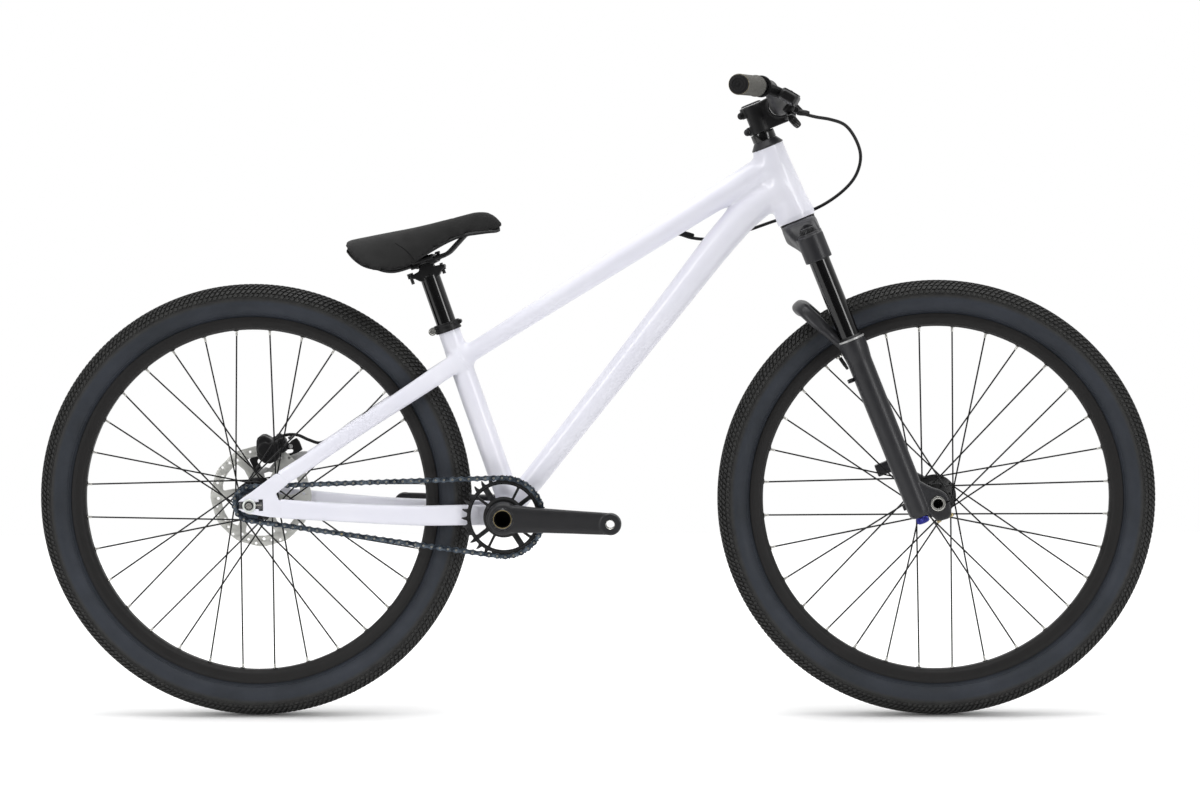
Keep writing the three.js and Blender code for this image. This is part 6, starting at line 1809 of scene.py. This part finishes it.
def camera():
    lens = bpy.data.cameras.new("camera")
    lens.sensor_fit = "HORIZONTAL"
    lens.sensor_width = SENSOR_WIDTH
    lens.lens = SENSOR_WIDTH * FOCAL_LENGTH_IN_PIXELS / PHOTO_WIDTH_IN_PIXELS
    lens.clip_end = 60
    yaw, pitch, roll = (math.radians(a) for a in CAMERA_TURN)
    forward = Vector((math.sin(yaw) * math.cos(pitch), math.cos(yaw) * math.cos(pitch), math.sin(pitch)))
    level = forward.cross(Vector((0, 0, 1))).normalized()
    above = level.cross(forward)
    right = math.cos(roll) * level + math.sin(roll) * above
    up = math.cos(roll) * above - math.sin(roll) * level
    turn = Matrix((right, up, -forward)).transposed().to_4x4()
    obj = bpy.data.objects.new("camera", lens)
    obj.matrix_world = Matrix.Translation(Vector(CAMERA_PLACE) * MM) @ turn
    bpy.context.scene.collection.objects.link(obj)
    bpy.context.scene.camera = obj


def floor():
    """A white floor that ends close to the bicycle, so that its black pieces don't mirror it. Its glow for
    the camera fades where things hem it in, a painted contact shadow.
    """
    mesh = bpy.data.meshes.new("floor")
    side, front, back = 4.0, -1.6, 2.2
    mesh.from_pydata([(-side, front, 0), (side, front, 0), (side, back, 0), (-side, back, 0)], [],
                     [(0, 1, 2, 3)])
    obj = bpy.data.objects.new("floor", mesh)
    bpy.context.scene.collection.objects.link(obj)
    n = Nodes("floor_white")
    n.sockets(Base_Color=(0.93, 0.93, 0.93, 1), Roughness=0.9, Specular_IOR_Level=0.1)
    # Ambient occlusion dims that glow under and beside the tyres: a painted contact shadow.
    unhemmed_share = n.add("ShaderNodeAmbientOcclusion", {"Distance": 0.16}, samples=12).outputs["AO"]
    share = n.math("MULTIPLY", n.math("POWER", unhemmed_share, PAINTED_SHADOW_FADE), FLOOR_FILL)
    seen = n.add("ShaderNodeLightPath").outputs["Is Camera Ray"]
    fill = n.add("ShaderNodeEmission", {"Strength": n.math("MULTIPLY", seen, share)})
    both = n.add("ShaderNodeAddShader", {0: n.shader.outputs[0], 1: fill.outputs[0]})
    n.tree.links.new(both.outputs[0], n.tree.nodes["Material Output"].inputs["Surface"])
    mesh.materials.append(n.material)


def area_lamp(name, place, target, size, power):
    data = bpy.data.lights.new(name, "AREA")
    data.shape = "RECTANGLE"
    data.size, data.size_y = size
    data.energy = power
    obj = bpy.data.objects.new(name, data)
    obj.visible_camera = False
    way = Vector(target) - Vector(place)
    obj.matrix_world = Matrix.Translation(place) @ way.to_track_quat("-Z", "Y").to_matrix().to_4x4()
    bpy.context.scene.collection.objects.link(obj)


def light():
    """A soft white surround, dim on the camera's side, with two tall soft lamps in front and one above."""
    world = bpy.data.worlds.new("studio")
    bpy.context.scene.world = world
    world.use_nodes = True
    tree = world.node_tree
    tree.nodes.clear()

    def add(kind, values=(), **settings):
        return add_node(tree, kind, values, settings)

    direction = add("ShaderNodeTexCoord").outputs["Generated"]
    slope = add("ShaderNodeVectorMath", {0: direction, 1: SURROUND_SLOPE},
                operation="DOT_PRODUCT").outputs["Value"]
    strength = add("ShaderNodeMath", {0: slope, 1: SURROUND_MIDDLE}, operation="ADD").outputs[0]
    strength = add("ShaderNodeMath", {0: strength, 1: SURROUND_LEAST}, operation="MAXIMUM").outputs[0]
    soft = add("ShaderNodeBackground", {"Color": (1, 1, 1, 1), "Strength": strength})
    seen = add("ShaderNodeBackground", {"Color": (1, 1, 1, 1), "Strength": 1.0})
    path = add("ShaderNodeLightPath")
    rays = {0: path.outputs["Is Camera Ray"], 1: path.outputs["Is Transmission Ray"]}
    either = add("ShaderNodeMath", rays, operation="MAXIMUM")
    mix = add("ShaderNodeMixShader", {"Fac": either.outputs[0], 1: soft.outputs[0], 2: seen.outputs[0]})
    add("ShaderNodeOutputWorld", {"Surface": mix.outputs[0]})
    area_lamp("left_front", (-3.0, -3.0, 1.6), (0, 0, 0.5), (1.0, 2.4), 52)
    area_lamp("right_front", (3.2, -3.0, 1.6), (0, 0, 0.5), (1.0, 2.4), 52)
    area_lamp("above", (0, -0.2, 3.4), (0, 0, 0.4), (3.4, 2.0), 62)
    bpy.context.scene.view_settings.view_transform = "Standard"


camera()
brake_hose()
frame_skin()
dropouts()
rear_axle()
tensioners()
rear_wheel()
brake_rotor()
front_wheel()
chain()
chainring()
rear_cog()
cranks()
bottom_bracket()
fork_crown()
fork_knobs()
stanchions()
fork_lowers()
headset_and_stem()
bearings()
handlebar()
grips()
brake_lever()
calliper()
seat_clamp()
seatpost()
rail_clamp()
saddle_rails()
saddle_shell()
saddle_seams(saddle_cover())
floor()
light()
